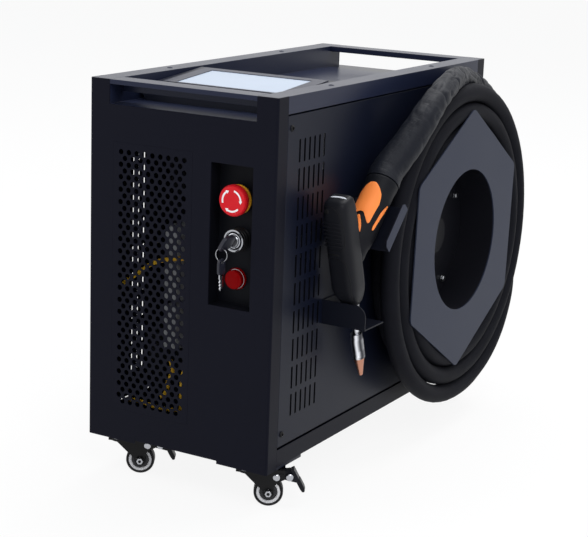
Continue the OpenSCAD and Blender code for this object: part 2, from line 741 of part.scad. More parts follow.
shelf_y0 = -172;
shelf_d = 52;
shelf_out = 29.7;
shelf_up = 171.5;
shelf_x = gun_x + shelf_out;
shelf_z = z0 + shelf_up;
shelf_lip = 30;
shelf_r = 15;
shelf_bore = 22;
module holder_shelf() color([0.20, 0.21, 0.27]) difference() {
    union() {
        span([panel_x, shelf_y0, shelf_z - holder_t], [shelf_x, shelf_y0 + shelf_d, shelf_z]);
        along_y(shelf_y0, holder_t) difference() {
            translate([panel_x, shelf_z - holder_t]) square([shelf_x - panel_x, shelf_lip + holder_t]);
            translate([shelf_x - shelf_r, shelf_z + shelf_lip - shelf_r]) difference() {
                square(shelf_r + eps);
                circle(shelf_r);
            }
        }
        span([panel_x, shelf_y0, shelf_z - holder_t], [panel_x + holder_t, shelf_y0 + shelf_d, shelf_z + shelf_lip]);
    }
    gun_frame() cylinder(d = shelf_bore, h = head_s0);
}
cradle_l0 = 36;
cradle_l1 = 104;
cradle_out = 37;
cradle_x = gun_x + cradle_out;
cradle_lip = 17;
cradle_y = grip_d / 2 + collar_step + gap;
// A channel under the grip: a sloping floor, an outer lip and a flange on the cabinet
module holder_cradle() color([0.20, 0.21, 0.27]) grip_frame() {
    translate([panel_x - gun_x, cradle_y, cradle_l0]) cube([cradle_x - panel_x, holder_t, cradle_l1 - cradle_l0]);
    for (x = [panel_x, cradle_x - holder_t])
        translate([x - gun_x, cradle_y + holder_t, cradle_l0]) rotate([90, 0, 90]) linear_extrude(holder_t)
            polygon([[0, 0], [0, cradle_l1 - cradle_l0], [-cradle_lip * 0.7, cradle_l1 - cradle_l0],
                [-cradle_lip, cradle_l1 - cradle_l0 - cradle_lip * 0.3], [-cradle_lip, cradle_lip * 0.3], [-cradle_lip * 0.7, 0]]);
}

// ---- Hose ----

// Unit vector, and the rings of a tube round a list of centres
function unit(v) = v / norm(v);
function heading(p, i) = unit(p[min(i + 1, len(p) - 1)] - p[max(i - 1, 0)]);
function side_of(d, ref) = unit(cross(d, ref));
function ring_pts(c, d, ref, r, n) = let(u = side_of(d, ref), v = cross(u, d))
    [for (k = [0 : n - 1]) c + r * (cos(360 * (k + 0.5) / n) * u + sin(360 * (k + 0.5) / n) * v)];
function tube_points(p, d, r, n, ref) = [for (i = [0 : len(p) - 1])
    each ring_pts(p[i], d[i], ref, r[i], n)];
function tube_faces(m, n) = [
    for (i = [0 : m - 2], k = [0 : n - 1])
        each [[i * n + k, i * n + (k + 1) % n, (i + 1) * n + k],
            [i * n + (k + 1) % n, (i + 1) * n + (k + 1) % n, (i + 1) * n + k]],
    for (k = [1 : n - 2]) [0, k + 1, k],
    for (k = [1 : n - 2]) [(m - 1) * n, (m - 1) * n + k, (m - 1) * n + k + 1]];
module tube(p, d, r, n, ref) {
    polyhedron(points = tube_points(p, d, r, n, ref), faces = tube_faces(len(p), n));
}
// A smooth curve through the route's points: Catmull-Rom with a given number of steps
function spline_at(p, i, t) = let(a = p[max(i - 1, 0)], b = p[i], c = p[i + 1], d = p[min(i + 2, len(p) - 1)])
    0.5 * (2 * b + (c - a) * t + (2 * a - 5 * b + 4 * c - d) * t * t + (3 * b - a - 3 * c + d) * t * t * t);
function spline(p, n) = [for (i = [0 : len(p) - 2], s = [0 : n - 1]) spline_at(p, i, s / n), p[len(p) - 1]];

// The coil: the front layer spirals in, the strand climbs to the back layer in the half
// turn where the spiral reverses, and the back layer spirals out
coil_y = 156;
coil_up = 228;
coil_z = z0 + coil_up;
coil_r = 226;
turn_gap = 0.8;
coil_pitch = hose_d + turn_gap;
front_turns = 3.5;
climb_turns = 0.5;
back_turns = 2.75;
coil_turns = front_turns + climb_turns + back_turns;
coil_steps = 24;
layer_gap = 0.4;
layer_front = reel_x - layer_gap - hose_d / 2;
layer_back = xs + layer_gap + hose_d / 2;
inner_r = coil_r - front_turns * coil_pitch;
dip = 16.2;
dip_t0 = 3.2;
dip_t1 = 4.3;
function smooth(t) = t <= 0 ? 0 : t >= 1 ? 1 : t * t * (3 - 2 * t);
function coil_rad(t) = (t < front_turns ? coil_r - t * coil_pitch
    : t < front_turns + climb_turns ? inner_r
    : inner_r + (t - front_turns - climb_turns) * coil_pitch)
    - (t > dip_t0 && t < dip_t1 ? dip * (1 - cos(360 * (t - dip_t0) / (dip_t1 - dip_t0))) / 2 : 0);
function coil_x(t) = layer_front + (layer_back - layer_front) * smooth((t - front_turns) / climb_turns);
function coil_at(t) = let(a = -90 - 360 * t, r = coil_rad(t))
    [coil_x(t), coil_y + r * cos(a), coil_z + r * sin(a)];
coil_n = floor(coil_turns * coil_steps);
coil_path = [for (i = [0 : coil_n]) coil_at(i * coil_turns / coil_n)];
coil_dir = [for (i = [0 : coil_n]) i == 0 ? [0, -1, 0] : i == coil_n ? [0, 0, -1] : heading(coil_path, i)];
coil_gap = min([for (i = [0 : coil_n], j = [i + coil_steps / 2 : coil_n])
    norm(coil_path[i] - coil_path[j])]) - hose_d;
module hose_coil() color([0.11, 0.11, 0.12]) {
    echo("least gap of the coil to itself", coil_gap);
    tube(coil_path, coil_dir, [for (i = [0 : coil_n]) hose_d / 2], 6, [1, 0, 0]);
}

// Routes of the free stretches, measured from the cabinet's right side and its underside
sleeve_route = [[43.5, -37, 392], [50.5, -8, 418], [51.5, 25, 438], [48.5, 62, 454], [39.5, 105, 466],
    [27.5, 150, 472], [19.5, 190, 466], [16.5, 222, 456], [16.5, 257, 441], [15.5, 282, 425], [15.5, 307, 405]];
lead_route = [[14.5, 332, 382], [13.5, 356, 350], [13.5, 374, 312], [13.5, 386, 272], [14.5, 390, 230],
    [18.5, 386, 188], [25.5, 375, 148], [32.5, 356, 110], [36.5, 331, 77], [38.5, 301, 48], [39.5, 265, 25],
    [39.5, 221, 9], [40.1, 188, 3]];
tail_route = [[12.5, 361, 204], [7.5, 361, 187], [-2.5, 366, 165], [-20.5, 378, 142], [-46.5, 395, 123],
    [-78.5, 407, 111], [-111.5, 406, 108], [-140.5, 391, 110], [-159.5, 370, 113], [-168.5, 350, 115]];
sleeve_taper_share = 0.55;
sleeve_d0 = 45;
sleeve_d1 = 30;
gland_in = 170.5;
gland_x = xs - gland_in;
gland_up = 116;
gland_z = z0 + gland_up;
gland_l = 34;
gland_t = 5;
gland_wall = 3;
gland_hex_wall = 10;
gland_neck_wall = 4;
gland_neck_l = 10;
gland_dome_wall = 7;
function lifted(p) = [for (q = p) q + [xs, 0, z0]];
grip_dir = [0, sin(grip_angle - gun_lean), cos(grip_angle - gun_lean)];
grip_root = [gun_x, tip_y - grip_s * sin(gun_lean), tip_z + grip_s * cos(gun_lean)];
sleeve_start = grip_root + (grip_l + gap) * grip_dir;
sleeve_end = lifted(sleeve_route)[len(sleeve_route) - 1];
lead_dir = unit(lifted(lead_route)[0] - sleeve_end);
tail_end = [gland_x, ys + gland_l, gland_z];
sleeve_pts = concat([sleeve_start, sleeve_start + sleeve_d0 * 0.5 * grip_dir], lifted(sleeve_route));
lead_pts = concat([sleeve_end], lifted(lead_route), [coil_path[0]]);
tail_pts = concat([coil_path[coil_n]], lifted(tail_route), [tail_end]);
module free_tube(pts, steps, d0, d1, dir0, dir1, n, ref) {
    p = spline(pts, steps);
    m = len(p) - 1;
    tube(p, [for (i = [0 : m]) i == 0 ? dir0 : i == m ? dir1 : heading(p, i)],
        [for (i = [0 : m]) (d0 + (d1 - d0) * smooth(i / m / sleeve_taper_share)) / 2], n, ref);
}
module hose_sleeve() color([0.12, 0.12, 0.13])
    free_tube(sleeve_pts, 2, sleeve_d0, sleeve_d1, grip_dir, lead_dir, 12, [1, 0, 0]);
module hose_lead() color([0.11, 0.11, 0.12])
    free_tube(lead_pts, 3, hose_d, hose_d, lead_dir, [0, -1, 0], 8, [1, 0, 0]);
module hose_tail() color([0.11, 0.11, 0.12])
    free_tube(tail_pts, 2, hose_d, hose_d, [0, 0, -1], [0, -1, 0], 8, [0.3, 0.2, 1]);
module hose_gland() color([0.08, 0.08, 0.09]) translate([gland_x, ys, gland_z]) rotate([-90, 0, 0])
    difference() {
        union() {
            cylinder(d = hose_d + 2 * gland_hex_wall, h = gland_t, $fn = 6);
            translate([0, 0, -sheet_t - gland_t]) cylinder(d = hose_d + 2 * gland_wall, h = sheet_t + gland_t);
            translate([0, 0, gland_t]) cylinder(d = hose_d + 2 * gland_neck_wall, h = gland_neck_l);
            translate([0, 0, gland_t + gland_neck_l]) cylinder(d1 = hose_d + 2 * gland_dome_wall,
                d2 = hose_d + 2 * gland_wall, h = gland_l - gland_t - gland_neck_l);
        }
        translate([0, 0, -sheet_t - gland_t - eps]) cylinder(d = hose_d - 2 * gland_wall, h = gland_l * 2);
    }

// ---- Casters ----

axle_z = wheel_d / 2;
axle_d = 8;
cheek_t = 2;
cheek_gap = 1;
cheek_w = wheel_w / 2 + cheek_gap;
race_h = 4;
fork_top = caster_h - race_h;
fork_head_t = 3;
boss_r = 7;
pin_d = 10;
plate_w = 62;
race_r = 20;
fork_reach = 21;
fork_short = 12;
cheek_back = 11;
cheek_rise = 13;
cheek_low = 9;
cheek_step = 5;
cheek_mid = 14.5;
cheek_top = 19;
nut_w = 12;
axle_nut_h = 4;
rivet_d = 5;
rivet_head_d = 8;
rivet_head_h = 1;
pivot_out = 16;
pivot_up = 23;
pivot_u = trail + pivot_out;
pivot_v = axle_z + pivot_up;
module caster_place(i, j) translate([i * swivel_x, j * swivel_y, 0]) rotate(trail_a) children();
module caster_plates() color([0.16, 0.16, 0.18]) for (i = [-1, 1], j = [-1, 1])
    translate([i * swivel_x, j * swivel_y, 0]) difference() {
        union() {
            intersection() {
                translate([0, 0, z0 + foot_h / 2]) cube([plate_w, plate_w, foot_h], center = true);
                translate([-i * swivel_x, -j * swivel_y, z0 + foot_h / 2])
                    cube([cab_w - 2 * sheet_t, cab_d - 2 * sheet_t, 2 * foot_h], center = true);
            }
            translate([0, 0, fork_top + gap]) cylinder(r = race_r, h = z0 - fork_top - gap);
        }
        translate([0, 0, fork_top - eps]) cylinder(d = pin_d + 2 * run, h = 2 * z0);
    }
// Side outline of a cheek: x along the trail from the swivel axis, y up
module cheek() {
    difference() {
        union() {
            polygon([[-race_r, fork_top - fork_head_t], [-race_r * 0.5, fork_top - fork_head_t * 4 / 3],
                [trail - boss_r - cheek_back, axle_z + cheek_rise], [trail - boss_r * 0.94, axle_z + boss_r * 0.34],
                [trail + boss_r * 0.94, axle_z + boss_r * 0.34], [trail + boss_r, axle_z + cheek_low],
                [trail + boss_r + cheek_step, axle_z + cheek_mid], [trail + fork_reach, axle_z + cheek_top],
                [trail + fork_reach, fork_top], [-race_r, fork_top]]);
            translate([trail, axle_z]) circle(boss_r);
        }
        translate([trail, axle_z]) circle(d = axle_d - 8 * run);
    }
}
module fork(braked) {
    for (s = [-1, 1]) translate([0, s * (cheek_w + cheek_t / 2) + cheek_t / 2, 0]) rotate([90, 0, 0])
        linear_extrude(cheek_t) intersection() {
            cheek();
            square([2 * (braked ? trail + fork_reach : trail + fork_short), 4 * caster_h], center = true);
        }
    translate([0, 0, fork_top - fork_head_t]) cylinder(r = race_r, h = fork_head_t);
    translate([0, -cheek_w - cheek_t, fork_top - fork_head_t])
        cube([trail + fork_short, 2 * (cheek_w + cheek_t), fork_head_t]);
    translate([0, 0, fork_top - fork_head_t]) cylinder(d = pin_d, h = z0 + foot_h - fork_top + fork_head_t - run);
    translate([trail, 0, axle_z]) rotate([90, 0, 0]) {
        cylinder(d = axle_d, h = 2 * (cheek_w + cheek_t), center = true);
        for (s = [-1, 1]) translate([0, 0, s * (cheek_w + cheek_t + axle_nut_h / 2)])
            cylinder(d = nut_w, h = axle_nut_h, center = true, $fn = 6);
    }
    if (braked) translate([pivot_u, 0, pivot_v]) rotate([90, 0, 0]) {
        cylinder(d = rivet_d, h = 2 * (cheek_w + cheek_t), center = true);
        for (s = [-1, 1]) translate([0, 0, s * (cheek_w + cheek_t + rivet_head_h / 2)])
            cylinder(d = rivet_head_d, h = rivet_head_h, center = true);
    }
}
hub_wall = 3;
tread_r = 2;
module wheel() translate([trail, 0, axle_z]) rotate([90, 0, 0]) rotate_extrude() {
    r = wheel_d / 2;
    translate([axle_d / 2 + run, -cheek_w + gap]) square([hub_wall, 2 * (cheek_w - gap)]);
    translate([axle_d / 2 + run, -wheel_w * 0.36]) square([r * 0.84 - axle_d / 2 - run, wheel_w * 0.72]);
    translate([r * 0.6, -wheel_w * 0.43]) square([r * 0.22, wheel_w * 0.86]);
    translate([r * 0.82, -wheel_w / 2 + tread_r]) square([r * 0.18, wheel_w - 2 * tread_r]);
    translate([r * 0.82, -wheel_w / 2]) square([r * 0.18 - tread_r, wheel_w]);
    for (s = [-1, 1]) translate([r - tread_r, s * (wheel_w / 2 - tread_r)]) circle(tread_r);
}
pedal_r = 5;
pedal_l = 30;
pedal_t = 4.5;
pedal_drop = 2;
pedal_a = 62;
module pedal() {
    w = wheel_w - cheek_gap;
    foot = [pivot_u + pedal_r * 2.8, pivot_v + pedal_r * 1.4];
    difference() {
        translate([0, w / 2, 0]) rotate([90, 0, 0]) linear_extrude(w) union() {
            translate([pivot_u, pivot_v]) circle(pedal_r);
            polygon([[pivot_u - pedal_r * 0.4, pivot_v - pedal_r * 0.92], [pivot_u + pedal_r * 0.6, pivot_v - pedal_r],
                [pivot_u + pedal_r * 4, pivot_v - pedal_r * 1.8], [pivot_u + pedal_r * 3.2, pivot_v + pedal_r],
                [pivot_u, pivot_v + pedal_r]]);
            translate(foot) rotate(-pedal_a) translate([0, -pedal_drop]) square([pedal_l, pedal_t]);
            translate(foot) rotate(-pedal_a) translate([pedal_l, pedal_t / 2 - pedal_drop]) circle(pedal_t / 2);
        }
        translate([pivot_u, 0, pivot_v]) rotate([90, 0, 0]) cylinder(d = rivet_d + 2 * run, h = 2 * w, center = true);
    }
}
module fork_fl() color([0.10, 0.10, 0.11]) caster_place(-1, -1) fork(true);
module fork_fr() color([0.10, 0.10, 0.11]) caster_place(1, -1) fork(true);
module fork_rl() color([0.10, 0.10, 0.11]) caster_place(-1, 1) fork(false);
module fork_rr() color([0.10, 0.10, 0.11]) caster_place(1, 1) fork(false);
module wheel_fl() color([0.85, 0.85, 0.86]) caster_place(-1, -1) wheel();
module wheel_fr() color([0.85, 0.85, 0.86]) caster_place(1, -1) wheel();
module wheel_rl() color([0.85, 0.85, 0.86]) caster_place(-1, 1) wheel();
module wheel_rr() color([0.85, 0.85, 0.86]) caster_place(1, 1) wheel();
module pedal_fl() color([0.45, 0.46, 0.50]) caster_place(-1, -1) pedal();
module pedal_fr() color([0.45, 0.46, 0.50]) caster_place(1, -1) pedal();

// ---- Inside and rear ----

floor_z = z0 + foot_h + sheet_t;
// The modules on the floor share the cabinet's width
source_share = 0.433213;
source_l = 330;
source_h = 110;
source_size = [cab_w * source_share, source_l, source_h];
source_in = 12;
source_y = -180;
fin_n = 9;
fin_share = 0.05;
fin_pitch_share = 0.104167;
fin_h = 14;
module laser_source() color([0.30, 0.31, 0.34]) translate([-xs + source_in, source_y, floor_z]) {
    fin = source_size.x * fin_share;
    cube(source_size);
    for (k = [0 : fin_n - 1]) translate([fin + k * source_size.x * fin_pitch_share, fin, source_size.z])
        cube([fin, source_size.y - 2 * fin, fin_h]);
}
supply_share = 0.34296;
supply_l = 240;
supply_h = 240;
supply_size = [cab_w * supply_share, supply_l, supply_h];
supply_x_share = 0.079422;
supply_y = -150;
air_n = 10;
air_in = 30;
air_z = 40;
air_pitch = 18;
air_h = 8;
air_t = 2;
module power_supply() color([0.60, 0.62, 0.66]) translate([cab_w * supply_x_share, supply_y, floor_z]) {
    difference() {
        cube(supply_size);
        for (k = [0 : air_n - 1]) translate([-eps, air_in, air_z + k * air_pitch])
            cube([eps + air_t, supply_size.y - 2 * air_in, air_h]);
    }
}
fan_size = 120;
fan_t = 25;
fan_bore = 112;
fan_in = 16.5;
fan_x = xs - fan_in - fan_size / 2;
fan_up = [330, 200];
fan_z = [z0 + fan_up[0], z0 + fan_up[1]];
fan_r = 5;
fan_lip = 4;
strut_w = 6;
rotor_room = 9;
fan_blade_w = 18;
fan_blade_t = 2;
fan_blade_a = 38;
guard_r = [14, 26, 38, 50];
guard_wire = 2;
guard_t = 1;
bracket_t = 3;
fan_pin = 6;
fan_hub_r = 20;
module fan_frames() color([0.08, 0.08, 0.09]) for (z = fan_z) translate([fan_x, ys - sheet_t, z]) rotate([90, 0, 0]) {
    difference() {
        linear_extrude(fan_t) rrect(fan_size, fan_size, fan_r);
        translate([0, 0, fan_lip]) cylinder(d = fan_bore + fan_lip, h = fan_t);
        translate([0, 0, -eps]) cylinder(d = fan_bore, h = fan_t);
    }
    // motor bracket at the inner side
    translate([0, 0, fan_t - bracket_t]) linear_extrude(bracket_t) difference() {
        union() {
            circle(fan_hub_r);
            for (k = [0 : 1]) rotate(45 + 90 * k) square([fan_bore + 2 * fan_lip, strut_w], center = true);
        }
        circle(d = fan_pin + 2 * run);
    }
    // finger guard, level with the panel
    linear_extrude(guard_t) {
        for (r = guard_r) difference() {
            circle(r + guard_wire);
            circle(r);
        }
        for (k = [0 : 1]) rotate(90 * k) square([fan_bore + guard_wire, guard_wire], center = true);
        circle(guard_r[0] + guard_wire / 2);
    }
}
blade_n = 7;
module fan_rotor(z) translate([fan_x, ys - sheet_t - fan_t + bracket_t + gap, z]) rotate([-90, 0, 0]) {
    h = fan_t - rotor_room;
    cylinder(r = fan_hub_r, h = h);
    translate([0, 0, -bracket_t]) cylinder(d = fan_pin, h = bracket_t);
    for (k = [0 : blade_n - 1]) rotate(360 / blade_n * k) translate([fan_hub_r - eps, 0, h / 2]) rotate([fan_blade_a, 0, 0])
        translate([0, -fan_blade_w / 2, -fan_blade_t / 2]) cube([fan_bore / 2 - fan_hub_r - 2 * eps, fan_blade_w, fan_blade_t]);
}
module fan_rotor_upper() color([0.10, 0.10, 0.11]) fan_rotor(fan_z[0]);
module fan_rotor_lower() color([0.10, 0.10, 0.11]) fan_rotor(fan_z[1]);

breaker_x = -72;
breaker_up = 330;
breaker_z = z0 + breaker_up;
breaker_w = 54;
breaker_h = 84;
breaker_d = 70;
breaker_proud = 6;
breaker_lip = 5;
breaker_lip_t = 1.5;
lever_r = 7;
lever_room = 2;
lever_t = 5;
lever_l = 16;
lever_a = 35;
module breaker_body() color([0.85, 0.86, 0.88]) translate([breaker_x, ys, breaker_z]) difference() {
    union() {
        translate([-breaker_w / 2, -breaker_d, -breaker_h / 2]) cube([breaker_w, breaker_d + breaker_proud, breaker_h]);
        translate([-breaker_w / 2 - breaker_lip, 0, -breaker_h / 2 - breaker_lip])
            cube([breaker_w + 2 * breaker_lip, breaker_lip_t, breaker_h + 2 * breaker_lip]);
    }
    translate([0, breaker_proud, 0]) rotate([0, 90, 0])
        cylinder(r = lever_r + gap + lever_room, h = breaker_w * 0.7, center = true);
}
module breaker_lever() color([0.12, 0.12, 0.13]) translate([breaker_x, ys + breaker_proud, breaker_z]) rotate([0, 90, 0]) {
    cylinder(r = lever_r, h = breaker_w * 0.7 - 2 * gap, center = true);
    translate([-lever_t / 2, 0, 0]) rotate([0, 0, -lever_a]) translate([0, lever_r, 0])
        cube([lever_t, lever_l, breaker_w * 0.6], center = true);
}
mains_x = -72;
mains_up = 52;
mains_z = z0 + mains_up;
mains_bore = 12;
mains_hex = 32;
mains_t = 5;
mains_body_d = 24;
mains_dome_d = 26;
mains_end_d = 20;
mains_l = 16;
module mains_gland() color([0.08, 0.08, 0.09]) translate([mains_x, ys, mains_z]) rotate([-90, 0, 0]) difference() {
    union() {
        cylinder(d = mains_hex, h = mains_t, $fn = 6);
        translate([0, 0, -sheet_t - mains_t]) cylinder(d = mains_body_d, h = sheet_t + mains_t);
        translate([0, 0, mains_t]) cylinder(d1 = mains_dome_d, d2 = mains_end_d, h = mains_l);
    }
    translate([0, 0, -sheet_t - mains_t - eps]) cylinder(d = mains_bore, h = 2 * (mains_l + mains_t));
}
gas_x = -100;
gas_up = 235;
gas_z = z0 + gas_up;
gas_bore = 8;
gas_hex = 18;
gas_t = 6;
gas_body_d = 12;
gas_neck_d = 13;
gas_neck_l = 14;
gas_barb_d = 15;
gas_barb_l = 4;
module gas_inlet() color([0.75, 0.62, 0.30]) translate([gas_x, ys, gas_z]) rotate([-90, 0, 0]) difference() {
    union() {
        cylinder(d = gas_hex, h = gas_t, $fn = 6);
        translate([0, 0, -sheet_t - gas_t]) cylinder(d = gas_body_d, h = sheet_t + gas_t);
        translate([0, 0, gas_t]) cylinder(d = gas_neck_d, h = gas_neck_l);
        translate([0, 0, gas_t + gas_neck_l]) cylinder(d = gas_barb_d, h = gas_barb_l);
    }
    translate([0, 0, -sheet_t - gas_t - eps]) cylinder(d = gas_bore, h = 3 * (gas_t + gas_neck_l));
}
module rear_panel() color([0.10, 0.10, 0.14]) mirror([0, 1, 0]) difference() {
    shell();
    for (z = fan_z) translate([fan_x, -ys, z]) rotate([90, 0, 0]) cylinder(d = fan_bore, h = 4 * sheet_t, center = true);
    span([breaker_x - breaker_w / 2, -ys - eps, breaker_z - breaker_h / 2],
        [breaker_x + breaker_w / 2, -ys + sheet_t + eps, breaker_z + breaker_h / 2]);
    for (h = [[gland_x, gland_z, hose_d + 2 * gland_wall + 2 * run], [mains_x, mains_z, mains_body_d + 2 * run],
        [gas_x, gas_z, gas_body_d + 2 * run]])
        translate([h[0], -ys, h[1]]) rotate([90, 0, 0]) cylinder(d = h[2], h = 4 * sheet_t, center = true);
}

top_tray();
handle_bars();
front_panel();
front_grille();
rear_panel();
base_tray();
side_panel_right();
side_panel_left();
fasteners();
control_pocket();
estop_collar();
estop_stem();
estop_head();
key_switch_body();
key_cylinder();
main_key();
key_ring();
spare_key();
indicator_lamp();
console_housing();
screen_bezel();
screen_glass();
reel_drum();
reel_plate();
holder_shelf();
holder_cradle();
gun_housing();
gun_grip();
gun_grip_insert();
gun_trigger();
gun_nozzle_tube();
gun_nozzle();
gun_tip();
gun_collar();
hose_sleeve();
hose_lead();
hose_coil();
hose_tail();
hose_gland();
caster_plates();
fork_fl();
fork_fr();
fork_rl();
fork_rr();
wheel_fl();
wheel_fr();
wheel_rl();
wheel_rr();
pedal_fl();
pedal_fr();
laser_source();
power_supply();
fan_frames();
fan_rotor_upper();
fan_rotor_lower();
breaker_body();
breaker_lever();
mains_gland();
gas_inlet();
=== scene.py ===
"""Looks of an air-cooled handheld laser welding machine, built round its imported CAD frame."""

import json
import math

import bmesh
import bpy
import numpy as np
from bpy.props import FloatProperty, FloatVectorProperty, IntProperty, PointerProperty
from bpy.types import Operator, Panel, PropertyGroup
from mathutils import Matrix, Vector
from mathutils.bvhtree import BVHTree

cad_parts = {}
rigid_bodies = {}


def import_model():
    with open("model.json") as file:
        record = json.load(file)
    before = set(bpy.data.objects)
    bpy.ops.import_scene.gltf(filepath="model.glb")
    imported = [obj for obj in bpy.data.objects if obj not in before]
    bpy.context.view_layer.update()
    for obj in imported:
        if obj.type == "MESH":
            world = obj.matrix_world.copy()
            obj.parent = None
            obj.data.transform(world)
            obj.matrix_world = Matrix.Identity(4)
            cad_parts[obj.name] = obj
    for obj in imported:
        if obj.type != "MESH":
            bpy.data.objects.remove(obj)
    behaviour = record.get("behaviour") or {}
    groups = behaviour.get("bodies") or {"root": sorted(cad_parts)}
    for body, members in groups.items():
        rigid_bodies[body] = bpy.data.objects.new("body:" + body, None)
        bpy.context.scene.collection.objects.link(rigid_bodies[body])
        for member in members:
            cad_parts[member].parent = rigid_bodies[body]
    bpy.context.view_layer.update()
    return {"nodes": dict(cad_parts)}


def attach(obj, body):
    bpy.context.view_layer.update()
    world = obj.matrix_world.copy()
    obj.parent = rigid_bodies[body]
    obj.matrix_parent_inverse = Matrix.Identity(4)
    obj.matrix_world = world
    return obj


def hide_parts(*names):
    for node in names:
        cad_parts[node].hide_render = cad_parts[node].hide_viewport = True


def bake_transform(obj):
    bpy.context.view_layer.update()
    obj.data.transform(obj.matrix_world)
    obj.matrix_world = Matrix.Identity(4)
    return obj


bl_info = {
    "name": "Laser Welding Machine Looks",
    "version": (1, 0, 0),
    "blender": (4, 5, 0),
    "location": "3D View > Sidebar > Welding Machine",
    "description": "Finishes, hose, controls, gun and casters of a handheld laser welding machine",
    "category": "Object",
}

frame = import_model()
NODES = frame["nodes"]

# Places that the pieces share with the CAD model, in millimetres

MM = 0.001
Z0 = 54.0
SIDE_X = 138.5
PANEL_X = 137.5
PLATE_Y = -277.6
CONTROL_X = 76.5
STOP_Z = Z0 + 344.4
SWITCH_Z = Z0 + 291.5
LAMP_Z = Z0 + 240.5
RIM_Z = Z0 + 474
REAR_LIP = 8.0
TRAY_Z = Z0 + 443
FOOT_FROM, FOOT_TO = 276.5, 214.0
SCREEN_HALF = 77.0
BEZEL_SIDE = 14.0
CONSOLE_BACK = -62.0
CONSOLE_SLOPE, CONSOLE_EASE, CONSOLE_SINK = 0.1409, 0.088, 3.0
CONSOLE_BROAD, CONSOLE_REACH = 1.115, 14.0
STOP_DROP, LAMP_ASIDE = 2.0, 3.0
GUN_X = 171.0
GUN_TIP = Vector((GUN_X, -119.3, Z0 + 93.7))
GUN_LEAN = math.radians(17.3)
GRIP_ANGLE = math.radians(62.3)
GRIP_S = 172.0
GRIP_L = 123.0
UPPER_LOW = ((0, 63.5), (8, 63), (12, 62), (16, 60.3), (20, 58), (30, 53), (36, 50), (42, 49.5),
    (45, 52), (46, 60), (48, 70), (50, 76), (51.5, 81))
UPPER_HIGH = ((0, 110), (10, 109.5), (17, 107.5), (24, 105), (29, 103), (35, 100), (43, 96), (46, 93),
    (48, 90), (50, 86), (51.5, 82))
LOWER_LOW = ((0, 53), (8, 47), (18, 39), (26, 34), (28, 33.5))
LOWER_HIGH = ((0, 58), (5, 56.5), (8, 54), (16, 49), (24, 42), (28, 35))
SIDE_NEAR = ((45, 64), (50, 63), (58, 65.5), (62, 67), (68, 69), (73, 71.5), (77, 75), (82, 80.5),
    (86, 86), (89, 90))
SIDE_FAR = ((45, 70), (50, 73), (58, 76), (62, 78), (68, 81), (73, 84.5), (77, 88), (82, 92), (86, 94.5),
    (89, 95))
REEL = Vector((PANEL_X, 142.0, Z0 + 233.0))
TRAIL = 22.0
TRAIL_TURN = math.radians(30)
AXLE_Z = 19.0


def out_of_front(x, z, y=PLATE_Y):
    """Frame whose z points out of the front, with x to the right and y up."""
    return Matrix.Translation((x, y, z)) @ Matrix.Rotation(math.pi / 2, 4, "X")


def gun_frame():
    """Frame at the gun's tip, with z running up the gun and y toward its back."""
    return Matrix.Translation(GUN_TIP) @ Matrix.Rotation(GUN_LEAN, 4, "X")


def grip_frame():
    """Frame at the grip's root, with z along the grip and y toward its underside."""
    return gun_frame() @ Matrix.Translation((0, 0, GRIP_S)) @ Matrix.Rotation(-GRIP_ANGLE, 4, "X")


def reel_frame():
    """Frame on the side panel, with z out of the cabinet, x toward the rear and y up."""
    turn = Matrix(((0, 0, 1), (1, 0, 0), (0, 1, 0))).to_4x4()
    return Matrix.Translation(REEL) @ turn


def caster_frame(side, end):
    """Frame on the floor under a swivel axis, with x along the trail."""
    return Matrix.Translation((side * 100, end * 272, 0)) @ Matrix.Rotation(TRAIL_TURN, 4, "Z")


# Finishes


def new_finish(name, color, roughness, metallic=0.0, specular=0.5, ior=1.45):
    material = bpy.data.materials.new(name)
    material.use_nodes = True
    shader = material.node_tree.nodes["Principled BSDF"]
    shader.inputs["Base Color"].default_value = (*color, 1)
    shader.inputs["Roughness"].default_value = roughness
    shader.inputs["Metallic"].default_value = metallic
    shader.inputs["Specular IOR Level"].default_value = specular
    shader.inputs["IOR"].default_value = ior
    return material


def add(tree, kind, settings=None, **inputs):
    """Adds a node. A tuple as an input's value is a link from (node, output name)."""
    node = tree.nodes.new(kind)
    for key, value in (settings or {}).items():
        setattr(node, key, value)
    for key, value in inputs.items():
        socket = node.inputs[int(key[1:])] if key[1:].isdigit() else node.inputs[key.replace("_", " ")]
        if isinstance(value, tuple) and len(value) == 2 and isinstance(value[0], bpy.types.Node):
            tree.links.new(value[0].outputs[value[1]], socket)
        else:
            socket.default_value = value
    return node


def speckle(material, grain_scale, grain_height, patch_scale=9.0, patch=0.12, wear=0.05):
    """Fine relief, faint patches in the colour and an uneven gloss, on object coordinates."""
    tree = material.node_tree
    shader = tree.nodes["Principled BSDF"]
    color = tuple(shader.inputs["Base Color"].default_value)[:3]
    roughness = shader.inputs["Roughness"].default_value
    place = add(tree, "ShaderNodeTexCoord")
    grain = add(tree, "ShaderNodeTexNoise", Vector=(place, "Object"), Scale=grain_scale, Detail=3.0)
    patches = add(tree, "ShaderNodeTexNoise", Vector=(place, "Object"), Scale=patch_scale, Detail=4.0)
    tint = add(tree, "ShaderNodeMix", {"data_type": "RGBA"}, i0=(patches, "Fac"))
    tint.inputs[6].default_value = (*[c * (1 - patch) for c in color], 1)
    tint.inputs[7].default_value = (*[min(1, c * (1 + patch)) for c in color], 1)
    tree.links.new(tint.outputs[2], shader.inputs["Base Color"])
    gloss = add(tree, "ShaderNodeMapRange", Value=(patches, "Fac"), To_Min=roughness - wear,
        To_Max=roughness + wear)
    tree.links.new(gloss.outputs[0], shader.inputs["Roughness"])
    bump = add(tree, "ShaderNodeBump", Height=(grain, "Fac"), Strength=1.0, Distance=grain_height)
    tree.links.new(bump.outputs[0], shader.inputs["Normal"])
    return material


